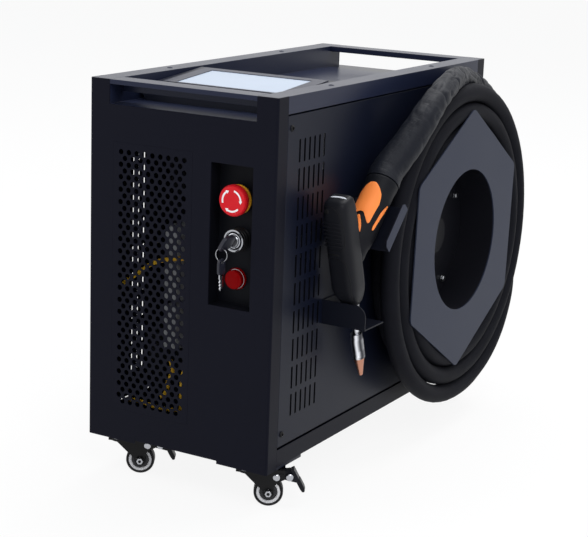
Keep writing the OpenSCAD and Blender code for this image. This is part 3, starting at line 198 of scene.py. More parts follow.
def brushed(material, stretch, height):
    """Fine lines across one direction, for turned and drawn metal."""
    tree = material.node_tree
    place = add(tree, "ShaderNodeTexCoord")
    scaled = add(tree, "ShaderNodeMapping", Vector=(place, "Object"), Scale=stretch)
    lines = add(tree, "ShaderNodeTexNoise", Vector=(scaled, "Vector"), Scale=60.0, Detail=3.0)
    bump = add(tree, "ShaderNodeBump", Height=(lines, "Fac"), Strength=1.0, Distance=height)
    tree.links.new(bump.outputs[0], tree.nodes["Principled BSDF"].inputs["Normal"])
    return material


def woven(material, pitch, height):
    """Plain weave of the hose cover, on the piece's own UV map in metres."""
    tree = material.node_tree
    shader = tree.nodes["Principled BSDF"]
    color = tuple(shader.inputs["Base Color"].default_value)[:3]
    place = add(tree, "ShaderNodeTexCoord")
    scale = 2 * math.pi / (20 * pitch)
    warp = add(tree, "ShaderNodeTexWave", {"bands_direction": "X"}, Vector=(place, "UV"), Scale=scale)
    weft = add(tree, "ShaderNodeTexWave", {"bands_direction": "Y"}, Vector=(place, "UV"), Scale=scale)
    cross = add(tree, "ShaderNodeMath", {"operation": "MULTIPLY"}, i0=(warp, "Fac"), i1=(weft, "Fac"))
    fuzz = add(tree, "ShaderNodeTexNoise", Vector=(place, "Object"), Scale=38.0, Detail=5.0)
    tint = add(tree, "ShaderNodeMix", {"data_type": "RGBA"}, i0=(fuzz, "Fac"))
    tint.inputs[6].default_value = (*[c * 0.75 for c in color], 1)
    tint.inputs[7].default_value = (*[c * 1.3 for c in color], 1)
    tree.links.new(tint.outputs[2], shader.inputs["Base Color"])
    bump = add(tree, "ShaderNodeBump", Height=(cross, "Value"), Strength=1.0, Distance=height)
    tree.links.new(bump.outputs[0], shader.inputs["Normal"])
    return material


def creased(material, fine=210.0, height=0.0006):
    """Small wrinkles that run round a fabric piece, on its own UV map, over the relief it has."""
    tree = material.node_tree
    shader = tree.nodes["Principled BSDF"]
    place = add(tree, "ShaderNodeTexCoord")
    stretched = add(tree, "ShaderNodeMapping", Vector=(place, "UV"), Scale=(0.32, 1.0, 1.0),
        Rotation=(0, 0, 0.22))
    lines = add(tree, "ShaderNodeTexNoise", Vector=(stretched, "Vector"), Scale=fine, Detail=3.0,
        Distortion=0.6)
    under = shader.inputs["Normal"].links[0].from_node
    bump = add(tree, "ShaderNodeBump", Height=(lines, "Fac"), Strength=1.0, Distance=height,
        Normal=(under, "Normal"))
    tree.links.new(bump.outputs[0], shader.inputs["Normal"])
    return material


def painted_reflection_streaks(material, dark, light, pitch):
    """Painted reflections: bright and dark streaks in the base colour along a turned piece that stands
    upright.
    """
    tree = material.node_tree
    shader = tree.nodes["Principled BSDF"]
    place = add(tree, "ShaderNodeTexCoord")
    bands = add(
        tree, "ShaderNodeTexWave", {"bands_direction": "X"}, Vector=(place, "Object"),
        Scale=2 * math.pi / (20 * pitch), Distortion=1.2, Detail=2.0, i6=0.0,
    )
    tint = add(tree, "ShaderNodeMix", {"data_type": "RGBA"}, i0=(bands, "Fac"))
    tint.inputs[6].default_value = (*dark, 1)
    tint.inputs[7].default_value = (*light, 1)
    tree.links.new(tint.outputs[2], shader.inputs["Base Color"])
    return material


FINISH = {}


def make_finishes(paint):
    """Every finish of the machine, by its name."""
    dark, side, rim, plate = (tuple(c) for c in (paint.front, paint.side, paint.rim, paint.reel))
    coat = {"grain_scale": 1400.0, "grain_height": 0.00005, "patch": 0.06}
    moulded = {"grain_scale": 900.0, "grain_height": 0.0001, "patch": 0.08}
    smooth = {"grain_scale": 500.0, "grain_height": 0.00003, "patch": 0.05}
    painted = (
        ("front_paint", dark, 0.42, 1.175), ("side_paint", side, 0.36, 1.22), ("rim_paint", rim, 0.30, 1.28),
        ("skirt_paint", side, 0.36, 1.22), ("plate_paint", plate, 0.40, 1.19),
        ("drum_paint", (0.006, 0.0062, 0.009), 0.42, 1.2), ("holder_paint", (0.005, 0.006, 0.011), 0.40, 1.2),
        ("pocket_paint", (0.004, 0.0045, 0.007), 0.45, 1.17),
        ("inside_sheet", (0.004, 0.004, 0.006), 0.6, 1.12),
        ("console", (0.012, 0.014, 0.024), 0.36, 1.25), ("bezel", (0.045, 0.048, 0.068), 0.34, 1.25),
    )
    for name, color, roughness, ior in painted:
        FINISH[name] = speckle(new_finish(name, color, roughness, ior=ior), **coat)
    plastics = (
        ("black_plastic", (0.006, 0.006, 0.007), 0.38, 1.25),
        ("gun_plastic", (0.0065, 0.0070, 0.0100), 0.42, 1.22),
        ("grip_rubber", (0.0060, 0.0064, 0.0090), 0.55, 1.2),
        ("collar_plastic", (0.0055, 0.0062, 0.0090), 0.5, 1.2),
        ("key_plastic", (0.016, 0.017, 0.027), 0.32, 1.4), ("module_dark", (0.010, 0.011, 0.014), 0.45, 1.2),
        # The hub's dark grey inside the white rim is painted shade.
        ("tyre", (0.007, 0.007, 0.008), 0.45, 1.25), ("hub_grey", (0.030, 0.030, 0.034), 0.4, 1.3),
        ("fork_black", (0.005, 0.005, 0.006), 0.34, 1.25),
        ("pedal_black", (0.006, 0.0065, 0.0095), 0.34, 1.25),
    )
    for name, color, roughness, ior in plastics:
        FINISH[name] = speckle(new_finish(name, color, roughness, ior=ior), **moulded)
    coloured = (
        ("orange_plastic", (1.0, 0.27, 0.06), 0.42, 1.3), ("stop_red", (0.62, 0.010, 0.018), 0.34, 1.25),
        ("mark_white", (0.85, 0.85, 0.86), 0.5, 1.3), ("ring_yellow", (0.75, 0.36, 0.02), 0.4, 1.3),
        ("wire_yellow", (0.85, 0.50, 0.03), 0.4, 1.3), ("lens_red", (0.19, 0.0004, 0.001), 0.16, 1.12),
        ("screen", (0.44, 0.51, 0.62), 0.2, 1.2), ("rim_white", (0.72, 0.72, 0.74), 0.4, 1.3),
        ("module_grey", (0.34, 0.35, 0.37), 0.4, 1.3), ("breaker_white", (0.68, 0.69, 0.70), 0.4, 1.3),
        # The pale colour of the gun head's top strip is a painted highlight.
        ("cap_pale", (0.62, 0.64, 0.70), 0.25, 1.4),
    )
    for name, color, roughness, ior in coloured:
        FINISH[name] = speckle(new_finish(name, color, roughness, ior=ior), **smooth)
    metals = (
        ("chrome", (0.42, 0.43, 0.46), 0.14, (20, 20, 200), 0.000008),
        ("steel", (0.30, 0.31, 0.33), 0.30, (20, 20, 300), 0.00003),
        ("nozzle_steel", (0.26, 0.265, 0.28), 0.32, (8, 8, 420), 0.00006),
        ("copper", (0.52, 0.25, 0.17), 0.36, (30, 30, 400), 0.00003),
        ("brass", (0.45, 0.32, 0.13), 0.28, (30, 30, 300), 0.00002),
    )
    for name, color, roughness, stretch, height in metals:
        FINISH[name] = brushed(new_finish(name, color, roughness, 1.0), stretch, height)
    # The nozzle's bright and dark streaks are painted reflections in its base colour.
    painted_reflection_streaks(FINISH["nozzle_steel"], (0.05, 0.052, 0.06), (0.86, 0.87, 0.92), 0.0085)
    FINISH["zinc"] = speckle(new_finish("zinc", (0.34, 0.35, 0.38), 0.36, 1.0), 120.0, 0.00002)
    fabric = new_finish("hose_fabric", tuple(paint.hose), 0.62, ior=1.15)
    FINISH["hose_fabric"] = woven(fabric, 0.0014, 0.00022)
    sleeve = new_finish("sleeve_fabric", tuple(paint.sleeve), 0.46, ior=1.24)
    FINISH["sleeve_fabric"] = creased(woven(sleeve, 0.0019, 0.00012))


# Shapes in millimetres: each is a list of points and a list of faces


def lathe(profile, steps=48, closed=False):
    """Turns a profile of (radius, height) about z. An open profile begins and ends on the axis."""
    points, faces, rings = [], [], []
    for radius, height in profile:
        if radius < 1e-6:
            rings.append([len(points)])
            points.append((0, 0, height))
        else:
            rings.append(list(range(len(points), len(points) + steps)))
            points += [
                (radius * math.cos(2 * math.pi * k / steps), radius * math.sin(2 * math.pi * k / steps),
                height)
                for k in range(steps)
            ]
    pairs = list(zip(rings, rings[1:] + rings[:1])) if closed else list(zip(rings, rings[1:]))
    for a, b in pairs:
        for k in range(steps):
            corners = [a[k % len(a)], a[(k + 1) % len(a)], b[(k + 1) % len(b)], b[k % len(b)]]
            faces.append(list(dict.fromkeys(corners)))
    return points, [f for f in faces if len(f) > 2]


def prism(outline, low, high):
    """An outline in x and y, run from one height to another."""
    n = len(outline)
    points = [(x, y, low) for x, y in outline] + [(x, y, high) for x, y in outline]
    faces = [list(range(n))[::-1], list(range(n, 2 * n))]
    faces += [[k, (k + 1) % n, n + (k + 1) % n, n + k] for k in range(n)]
    return points, faces


def block(low, high):
    return prism([(low[0], low[1]), (high[0], low[1]), (high[0], high[1]), (low[0], high[1])], low[2],
        high[2])


def rounded_outline(width, height, radius, steps=6):
    """Rounded rectangle about the origin."""
    points = []
    for corner, (sx, sy) in enumerate(((1, 1), (-1, 1), (-1, -1), (1, -1))):
        for k in range(steps + 1):
            a = math.pi / 2 * (corner + k / steps)
            points.append((sx * (width / 2 - radius) + radius * math.cos(a),
                sy * (height / 2 - radius) + radius * math.sin(a)))
    return points


def tube(path, radius, sides=12, closed=False):
    """A round tube along a path, with frames that don't twist."""
    path = [Vector(p) for p in path]
    n = len(path)
    reach = radius if hasattr(radius, "__len__") else [radius] * n
    points, faces = [], []
    normal = None
    for i, p in enumerate(path):
        ahead = path[(i + 1) % n] if closed else path[min(i + 1, n - 1)]
        behind = path[i - 1] if closed or i else path[0]
        along = (ahead - behind).normalized()
        if normal is None:
            normal = along.orthogonal().normalized()
        normal = (normal - along * normal.dot(along)).normalized()
        other = along.cross(normal)
        for k in range(sides):
            a = 2 * math.pi * k / sides
            points.append(p + reach[i] * (math.cos(a) * normal + math.sin(a) * other))
    for i in range(n if closed else n - 1):
        j = (i + 1) % n
        for k in range(sides):
            m = (k + 1) % sides
            faces.append([i * sides + k, i * sides + m, j * sides + m, j * sides + k])
    if not closed:
        faces += [list(range(sides))[::-1], list(range((n - 1) * sides, n * sides))]
    return points, faces


def loft(rings):
    """Joins rings of as many points each, and closes both ends with a fan."""
    n = len(rings[0])
    points = [p for ring in rings for p in ring]
    faces = []
    for i in range(len(rings) - 1):
        for k in range(n):
            faces.append([i * n + k, i * n + (k + 1) % n, (i + 1) * n + (k + 1) % n, (i + 1) * n + k])
    for start, flip in ((0, True), (len(points) - n, False)):
        ring = [Vector(points[start + k]) for k in range(n)]
        points.append(sum(ring, Vector()) / n)
        hub = len(points) - 1
        for k in range(n):
            face = [start + k, start + (k + 1) % n, hub]
            faces.append(face[::-1] if flip else face)
    return points, faces


def slab(outer, inner, across, steps):
    """Closes two grids of points, one over the other, into a solid sheet."""
    n, m = len(outer), steps + 1
    faces = []
    for k in range(across):
        for i in range(steps):
            q = [k * m + i, k * m + i + 1, (k + 1) * m + i + 1, (k + 1) * m + i]
            faces += [q, [n + v for v in q[::-1]]]
        for i in (0, steps):
            a, b = k * m + i, (k + 1) * m + i
            faces.append([a, b, n + b, n + a])
    for k in (0, across):
        for i in range(steps):
            a, b = k * m + i, k * m + i + 1
            faces.append([a, b, n + b, n + a])
    return outer + inner, faces


def smooth_path(points, steps):
    """Catmull-Rom curve through the points, as the CAD model's routes are."""
    points = [Vector(p) for p in points]
    out = []
    for i in range(len(points) - 1):
        a, b, c, d = points[max(i - 1, 0)], points[i], points[i + 1], points[min(i + 2, len(points) - 1)]
        for s in range(steps):
            t = s / steps
            out.append(0.5 * (2 * b + (c - a) * t + (2 * a - 5 * b + 4 * c - d) * t * t + (3 * b - a - 3 * c + d) * t**3))
    return out + [points[-1]]


class Piece:
    """One piece of the machine, gathered from closed shapes in millimetres."""

    def __init__(self, name):
        self.name = name
        self.mesh = bmesh.new()
        self.finishes = []

    def add(self, shape, finish, place=None, round_off=0.0, steps=2, limit=30):
        points, faces = shape
        part = bmesh.new()
        corners = [part.verts.new(p) for p in points]
        for face in faces:
            part.faces.new([corners[i] for i in face])
        bmesh.ops.remove_doubles(part, verts=part.verts, dist=1e-5)
        bmesh.ops.recalc_face_normals(part, faces=part.faces)
        if round_off:
            round_edges(part, round_off, steps, limit)
        if place is not None:
            part.transform(place)
        if finish not in self.finishes:
            self.finishes.append(finish)
        for face in part.faces:
            face.material_index = self.finishes.index(finish)
        held = bpy.data.meshes.new("held")
        part.to_mesh(held)
        part.free()
        self.mesh.from_mesh(held)
        bpy.data.meshes.remove(held)
        return self

    def done(self, body, replaces=(), crease=35, place=None):
        """Makes the object at the origin, in metres, riding on its body."""
        if place is not None:
            self.mesh.transform(place)
        self.mesh.transform(Matrix.Scale(MM, 4))
        mark_creases(self.mesh, crease)
        mesh = bpy.data.meshes.new(self.name)
        self.mesh.to_mesh(mesh)
        self.mesh.free()
        for finish in self.finishes:
            mesh.materials.append(FINISH[finish])
        piece = bpy.data.objects.new(self.name, mesh)
        bpy.context.scene.collection.objects.link(piece)
        return seat(piece, body, replaces)


def round_edges(part, width, steps, limit, least=0.0):
    """Rounds every edge that is sharper than the limit in degrees, and as long as asked."""
    sharp = [
        e for e in part.edges
        if len(e.link_faces) == 2 and e.calc_face_angle(0) > math.radians(limit) and e.calc_length() >= least
    ]
    bmesh.ops.bevel(part, geom=sharp, offset=width, segments=steps, profile=0.5, affect="EDGES",
        clamp_overlap=True)


def mark_creases(part, limit):
    for face in part.faces:
        face.smooth = True
    for edge in part.edges:
        edge.smooth = len(edge.link_faces) == 2 and edge.calc_face_angle(0) < math.radians(limit)


def seat(piece, body, replaces=()):
    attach(piece, body)
    if replaces:
        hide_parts(*replaces)
    return piece


def weighed(piece):
    """Keeps each flat face's own shading up to its rounded edges."""
    modifier = piece.modifiers.new("weigh", "WEIGHTED_NORMAL")
    modifier.keep_sharp = True
    shown = bpy.context.evaluated_depsgraph_get()
    mesh = bpy.data.meshes.new_from_object(piece.evaluated_get(shown), depsgraph=shown)
    piece.modifiers.remove(modifier)
    rough = piece.data
    piece.data = mesh
    bpy.data.meshes.remove(rough)
    mesh.name = piece.name
    return piece


# Faces toward +x keep the pale paint; the piece's other faces get the dark paint as painted shade.
def faces_out_of_shade(face):
    return face.normal.x > 0.9


def slot_wall(face):
    """Walls of a side panel's louvre slots, but not its long outer edges."""
    return abs(face.normal.x) < 0.5 and max(e.calc_length() for e in face.edges) < 0.1


def softened(name, node, finish, body, width, steps=2, limit=30, moved=None, least=0.0,
        second=None, chosen=None):
    """A CAD piece with its edges eased, as folded sheet and moulded plastic have them."""
    part = bmesh.new()
    part.from_mesh(NODES[node].data)
    bmesh.ops.remove_doubles(part, verts=part.verts, dist=1e-6)
    bmesh.ops.dissolve_limit(part, angle_limit=math.radians(0.5), verts=part.verts, edges=part.edges)
    for corner in part.verts if moved else ():
        corner.co = moved(corner.co / MM) * MM
    round_edges(part, width * MM, steps, limit, least)
    mark_creases(part, 40)
    for face in part.faces if second else ():
        face.material_index = 1 if chosen(face) else 0
    mesh = bpy.data.meshes.new(name)
    part.to_mesh(mesh)
    part.free()
    for kind in (finish, second) if second else (finish,):
        mesh.materials.append(FINISH[kind])
    piece = bpy.data.objects.new(name, mesh)
    bpy.context.scene.collection.objects.link(piece)
    return seat(weighed(piece), body, (node,))


def finish_node(node, finish):
    """Gives a carried-over CAD node its finish."""
    slots = NODES[node].data.materials
    slots.clear()
    slots.append(FINISH[finish])


# Geometry Nodes


def new_tree(name, inputs):
    tree = bpy.data.node_groups.new(name, "GeometryNodeTree")
    tree.interface.new_socket("Geometry", in_out="OUTPUT", socket_type="NodeSocketGeometry")
    for label, kind in inputs:
        tree.interface.new_socket(label, in_out="INPUT", socket_type="NodeSocket" + kind)
    return tree


def set_inputs(modifier, values):
    for item in modifier.node_group.interface.items_tree:
        if item.item_type == "SOCKET" and item.in_out == "INPUT" and item.name in values:
            modifier[item.identifier] = values[item.name]


def baked(source, tree, values, name):
    """Runs a node tree on an object and returns the result as a plain mesh object."""
    modifier = source.modifiers.new(tree.name, "NODES")
    modifier.node_group = tree
    set_inputs(modifier, values)
    shown = bpy.context.evaluated_depsgraph_get()
    mesh = bpy.data.meshes.new_from_object(source.evaluated_get(shown), depsgraph=shown)
    mesh.name = name
    source.modifiers.remove(modifier)
    bpy.data.objects.remove(source)
    piece = bpy.data.objects.new(name, mesh)
    bpy.context.scene.collection.objects.link(piece)
    return piece


def repeat_tree():
    """Stands a source object on every point, turned along the point's own axis."""
    tree = new_tree(
        "repeat_on_points",
        [("Geometry", "Geometry"), ("Source", "Object"), ("Size", "Float"), ("Finish", "Material")],
    )
    given = add(tree, "NodeGroupInput")
    axis = add(tree, "GeometryNodeInputNamedAttribute", {"data_type": "FLOAT_VECTOR"}, Name="axis")
    aside = add(tree, "GeometryNodeInputNamedAttribute", {"data_type": "FLOAT_VECTOR"}, Name="aside")
    turned = add(
        tree,
        "FunctionNodeAxesToRotation",
        {"primary_axis": "Z", "secondary_axis": "X"},
        Primary_Axis=(axis, "Attribute"),
        Secondary_Axis=(aside, "Attribute"),
    )
    source = add(tree, "GeometryNodeObjectInfo", i0=(given, "Source"))
    copies = add(
        tree,
        "GeometryNodeInstanceOnPoints",
        Points=(given, "Geometry"),
        Instance=(source, "Geometry"),
        Rotation=(turned, "Rotation"),
        Scale=(given, "Size"),
    )
    real = add(tree, "GeometryNodeRealizeInstances", Geometry=(copies, "Instances"))
    coated = add(tree, "GeometryNodeSetMaterial", Geometry=(real, "Geometry"), Material=(given, "Finish"))
    result = add(tree, "NodeGroupOutput")
    tree.links.new(coated.outputs[0], result.inputs[0])
    return tree


def repeated(name, shape, finish, places, body, replaces=(), round_off=0.0):
    """One shape stood at every place (a point, its axis and its side, in millimetres)."""
    source = Piece("source").add(shape, finish, round_off=round_off)
    source.mesh.transform(Matrix.Scale(MM, 4))
    mark_creases(source.mesh, 35)
    source_mesh = bpy.data.meshes.new("source")
    source.mesh.to_mesh(source_mesh)
    source.mesh.free()
    source_object = bpy.data.objects.new("source", source_mesh)
    bpy.context.scene.collection.objects.link(source_object)
    points = bpy.data.meshes.new("points")
    points.from_pydata([Vector(p) * MM for p, _, _ in places], [], [])
    for label, column in (("axis", 1), ("aside", 2)):
        attribute = points.attributes.new(label, "FLOAT_VECTOR", "POINT")
        attribute.data.foreach_set("vector",
            np.array([Vector(q[column]).normalized() for q in places], np.float32).ravel())
    holder = bpy.data.objects.new("points", points)
    bpy.context.scene.collection.objects.link(holder)
    tree = bpy.data.node_groups.get("repeat_on_points") or repeat_tree()
    piece = baked(holder, tree, {"Source": source_object, "Size": 1.0, "Finish": FINISH[finish]}, name)
    bpy.data.objects.remove(source_object)
    for label in ("axis", "aside"):
        if label in piece.data.attributes:
            piece.data.attributes.remove(piece.data.attributes[label])
    return seat(piece, body, replaces)


def hose_tree():
    """A round cover along a curve, with folds raised by noise that runs round and along it."""
    tree = new_tree(
        "fabric_tube",
        [
            ("Geometry", "Geometry"),
            ("Sides", "Int"),
            ("Fold Height", "Float"),
            ("Folds Along", "Float"),
            ("Folds Round", "Float"),
            ("Crease", "Float"),
            ("Seed", "Float"),
            ("Finish", "Material"),
        ],
    )
    given = add(tree, "NodeGroupInput")
    along = add(tree, "GeometryNodeSplineParameter")
    kept_length = add(tree, "GeometryNodeCaptureAttribute", Geometry=(given, "Geometry"))
    kept_length.capture_items.new("FLOAT", "Length")
    kept_length.capture_items.new("FLOAT", "Share")
    tree.links.new(along.outputs["Length"], kept_length.inputs["Length"])
    tree.links.new(along.outputs["Factor"], kept_length.inputs["Share"])
    ring = add(tree, "GeometryNodeCurvePrimitiveCircle", Resolution=(given, "Sides"), Radius=1.0)
    around = add(tree, "GeometryNodeSplineParameter")
    kept_turn = add(tree, "GeometryNodeCaptureAttribute", Geometry=(ring, "Curve"))
    kept_turn.capture_items.new("FLOAT", "Turn")
    tree.links.new(around.outputs["Factor"], kept_turn.inputs["Turn"])
    width = add(tree, "GeometryNodeInputRadius")
    swept = add(
        tree,
        "GeometryNodeCurveToMesh",
        Curve=(kept_length, "Geometry"),
        Profile_Curve=(kept_turn, "Geometry"),
        Scale=(width, "Radius"),
        Fill_Caps=True,
    )
    angle = add(tree, "ShaderNodeMath", {"operation": "MULTIPLY"}, i0=(kept_turn, "Turn"), i1=2 * math.pi)
    cosine = add(tree, "ShaderNodeMath", {"operation": "COSINE"}, i0=(angle, "Value"))
    sine = add(tree, "ShaderNodeMath", {"operation": "SINE"}, i0=(angle, "Value"))
    x = add(tree, "ShaderNodeMath", {"operation": "MULTIPLY"}, i0=(cosine, "Value"),
        i1=(given, "Folds Round"))
    y = add(tree, "ShaderNodeMath", {"operation": "MULTIPLY"}, i0=(sine, "Value"), i1=(given, "Folds Round"))
    z = add(tree, "ShaderNodeMath", {"operation": "MULTIPLY"}, i0=(kept_length, "Length"),
        i1=(given, "Folds Along"))
    spot = add(tree, "ShaderNodeCombineXYZ", X=(x, "Value"), Y=(y, "Value"), Z=(z, "Value"))
    folds = add(
        tree,
        "ShaderNodeTexNoise",
        {"noise_dimensions": "4D"},
        Vector=(spot, "Vector"),
        W=(given, "Seed"),
        Scale=1.0,
        Detail=2.5,
        Roughness=0.55,
        Distortion=0.4,
    )
    level = add(tree, "ShaderNodeMath", {"operation": "SUBTRACT"}, i0=(folds, "Fac"), i1=0.5)
    pinches = add(
        tree,
        "ShaderNodeTexNoise",
        {"noise_dimensions": "4D", "noise_type": "RIDGED_MULTIFRACTAL"},
        Vector=(spot, "Vector"),
        W=(given, "Seed"),
        Scale=0.8,
        Detail=0.7,
        Roughness=0.4,
        Distortion=0.5,
        Offset=1.0,
        Gain=1.6,
    )
    sunk = add(tree, "ShaderNodeMath", {"operation": "SUBTRACT"}, i0=0.62, i1=(pinches, "Fac"))
    grown = add(tree, "ShaderNodeMapRange", Value=(kept_length, "Share"))
    for label, value in (("From Min", 0.05), ("From Max", 0.5), ("To Min", 0.12), ("To Max", 1.0)):
        grown.inputs[label].default_value = value
    depth = add(tree, "ShaderNodeMath", {"operation": "MULTIPLY"}, i0=(grown, "Result"), i1=(given, "Crease"))
    creases = add(tree, "ShaderNodeMath", {"operation": "MULTIPLY"}, i0=(sunk, "Value"), i1=(depth, "Value"))
    height = add(
        tree,
        "ShaderNodeMath",
        {"operation": "MULTIPLY_ADD"},
        i0=(level, "Value"),
        i1=(given, "Fold Height"),
        i2=(creases, "Value"),
    )
    facing = add(tree, "GeometryNodeInputNormal")
    push = add(tree, "ShaderNodeVectorMath", {"operation": "SCALE"}, i0=(facing, "Normal"),
        Scale=(height, "Value"))
    raised = add(tree, "GeometryNodeSetPosition", Geometry=(swept, "Mesh"), Offset=(push, "Vector"))
    smooth = add(tree, "GeometryNodeSetShadeSmooth", Geometry=(raised, "Geometry"))
    real = add(tree, "GeometryNodeRealizeInstances", Geometry=(smooth, "Geometry"))
    coated = add(tree, "GeometryNodeSetMaterial", Geometry=(real, "Geometry"), Material=(given, "Finish"))
    result = add(tree, "NodeGroupOutput")
    tree.links.new(coated.outputs[0], result.inputs[0])
    return tree


def lay_uv(mesh, sides, radii, lengths):
    """UV map in metres: round the tube, and along it."""
    layer = mesh.uv_layers.new(name="UVMap")
    count = len(radii)
    for face in mesh.polygons:
        at = [(v // sides, v % sides) for v in face.vertices]
        wraps = {k for _, k in at} == {0, sides - 1}
        for loop, (ring, k) in zip(face.loop_indices, at):
            ring = min(ring, count - 1)
            turn = (sides if wraps and k == 0 else k) / sides
            layer.data[loop].uv = (turn * round(2 * math.pi * radii[0] / 0.0014) * 0.0014, lengths[ring])


def fabric_tube(name, path, radii, sides, folds, finish):
    """A fabric-covered tube along a path in metres, made by the hose tree."""
    curve = bpy.data.curves.new("route", "CURVE")
    curve.dimensions = "3D"
    spline = curve.splines.new("POLY")
    spline.points.add(len(path) - 1)
    spline.points.foreach_set("co", np.array([(*p, 1) for p in path], np.float32).ravel())
    spline.points.foreach_set("radius", np.array(radii, np.float32))
    holder = bpy.data.objects.new("route", curve)
    bpy.context.scene.collection.objects.link(holder)
    tree = bpy.data.node_groups.get("fabric_tube") or hose_tree()
    height, along, around, crease, seed = folds
    values = {
        "Sides": sides, "Fold Height": height, "Folds Along": along, "Folds Round": around,
        "Crease": crease, "Seed": seed,
    }
    piece = baked(holder, tree, {**values, "Finish": FINISH[finish]}, name)
    steps = [0.0]
    for a, b in zip(path, path[1:]):
        steps.append(steps[-1] + (b - a).length)
    lay_uv(piece.data, sides, radii, steps)
    return piece, steps[-1]


# The hose's route, as the CAD model lays it

HOSE_R = 13.0
COIL_Y, COIL_Z, COIL_R = 156.0, Z0 + 228, 226.0
COIL_PITCH = 26.8
FRONT_TURNS, CLIMB_TURNS, BACK_TURNS = 3.5, 0.5, 2.75
COIL_TURNS = FRONT_TURNS + CLIMB_TURNS + BACK_TURNS
LAYER_FRONT = 192 - 0.4 - HOSE_R
LAYER_BACK = SIDE_X + 0.4 + HOSE_R
DIP, DIP_FROM, DIP_TO = 16.2, 3.2, 4.3
SLEEVE_ROUTE = [
    (182, -37, 392), (189, -10, 420), (190, 20, 441), (187, 56, 455), (178, 100, 462), (166, 148, 462),
    (158, 190, 455), (155, 222, 446), (155, 257, 432), (154, 282, 419), (154, 307, 405),
]
LEAD_ROUTE = [
    (153, 332, 382), (152, 356, 350), (152, 374, 312), (152, 386, 272), (153, 390, 230), (157, 386, 188),
    (164, 375, 148), (171, 356, 110), (175, 331, 77), (177, 301, 48), (178, 265, 25), (178, 221, 9),
    (178.6, 188, 3),
]
TAIL_ROUTE = [
    (151, 361, 204), (146, 361, 187), (136, 366, 165), (118, 378, 142), (92, 395, 123), (60, 407, 111),
    (27, 406, 108), (-2, 391, 110), (-21, 370, 113), (-30, 350, 115),
]
GLAND = Vector((-32, 334, Z0 + 116))
SLEEVE_D0, SLEEVE_D1, TAPER_SHARE = 45.0, 30.0, 0.55


def eased(t):
    t = min(max(t, 0.0), 1.0)
    return t * t * (3 - 2 * t)


def coil_point(t):
    """Centre of the coiled hose after t turns: in on the front layer, out on the back one."""
    inner = COIL_R - FRONT_TURNS * COIL_PITCH
    if t < FRONT_TURNS:
        radius = COIL_R - t * COIL_PITCH
    elif t < FRONT_TURNS + CLIMB_TURNS:
        radius = inner
    else:
        radius = inner + (t - FRONT_TURNS - CLIMB_TURNS) * COIL_PITCH
    if DIP_FROM < t < DIP_TO:
        radius -= DIP * (1 - math.cos(2 * math.pi * (t - DIP_FROM) / (DIP_TO - DIP_FROM))) / 2
    x = LAYER_FRONT + (LAYER_BACK - LAYER_FRONT) * eased((t - FRONT_TURNS) / CLIMB_TURNS)
    a = math.radians(-90 - 360 * t)
    return Vector((x, COIL_Y + radius * math.cos(a), COIL_Z + radius * math.sin(a)))


def lifted(route):
    return [Vector(p) + Vector((0, 0, Z0)) for p in route]


def hose_path():
    """From the gland in the rear panel, through the coil, to the sleeve's end."""
    steps = 72
    coil = [coil_point(i / steps) for i in range(int(COIL_TURNS * steps) + 1)]
    tail = smooth_path([coil[-1], *lifted(TAIL_ROUTE), GLAND], 8)
    lead = smooth_path([lifted(SLEEVE_ROUTE)[-1], *lifted(LEAD_ROUTE), coil[0]], 10)
    return tail[::-1] + coil[::-1][1:] + lead[::-1][1:]


def sleeve_path():
    """From the gun's grip to the end of the sleeve."""
    to_gun = grip_frame()
    start = to_gun @ Vector((0, 0, GRIP_L + 0.3))
    ahead = to_gun @ Vector((0, 0, GRIP_L + 0.3 + SLEEVE_D0 / 2))
    return smooth_path([start, ahead, *lifted(SLEEVE_ROUTE)], 36)


# Sizes and colours that a user would change


class WelderPaint(PropertyGroup):
    """Colours of the paint and the fabric."""

    front: FloatVectorProperty(name="Front", description="Paint of the front, rear and base",
        subtype="COLOR", default=(0.0029, 0.0034, 0.0090))
    side: FloatVectorProperty(name="Side", description="Paint of the side panels", subtype="COLOR",
        default=(0.0050, 0.0068, 0.0160))
    rim: FloatVectorProperty(name="Rim", description="Paint of the top tray and the handles",
        subtype="COLOR", default=(0.0120, 0.0160, 0.0380))
    reel: FloatVectorProperty(name="Reel plate", description="Paint of the reel's plate",
        subtype="COLOR", default=(0.0250, 0.0305, 0.0520))
    hose: FloatVectorProperty(name="Hose", description="Fabric of the hose", subtype="COLOR",
        default=(0.0062, 0.0066, 0.0098))
    sleeve: FloatVectorProperty(name="Sleeve", description="Fabric of the sleeve", subtype="COLOR",
        default=(0.0066, 0.0080, 0.0130))


class WelderHose(PropertyGroup):
    """Folds and fineness of the hose."""

    sides: IntProperty(name="Sides", description="Sides of the hose's surface", default=24, min=12)
    fold: FloatProperty(name="Hose folds", description="Height of the cover's folds", default=0.0012,
        unit="LENGTH")
    sleeve_fold: FloatProperty(name="Sleeve folds", description="Height of the sleeve's folds",
        default=0.0030, unit="LENGTH")


class WelderStage(PropertyGroup):
    """Light and floor."""

    ambient: FloatProperty(name="Room light", description="Strength of the even light", default=0.55)
    key: FloatProperty(name="Key light", description="Power of the large lamp", default=60.0)
    white: FloatProperty(name="Floor white", description="Share of the floor's own white", default=0.90,
        min=0, max=1)
    floor: FloatVectorProperty(name="Floor", description="Colour of the floor", subtype="COLOR",
        default=(0.9, 0.9, 0.9))


# Operators


class WelderOperator:
    bl_options = {"REGISTER", "UNDO"}

    def execute(self, context):
        self.make(context.scene)
        return {"FINISHED"}


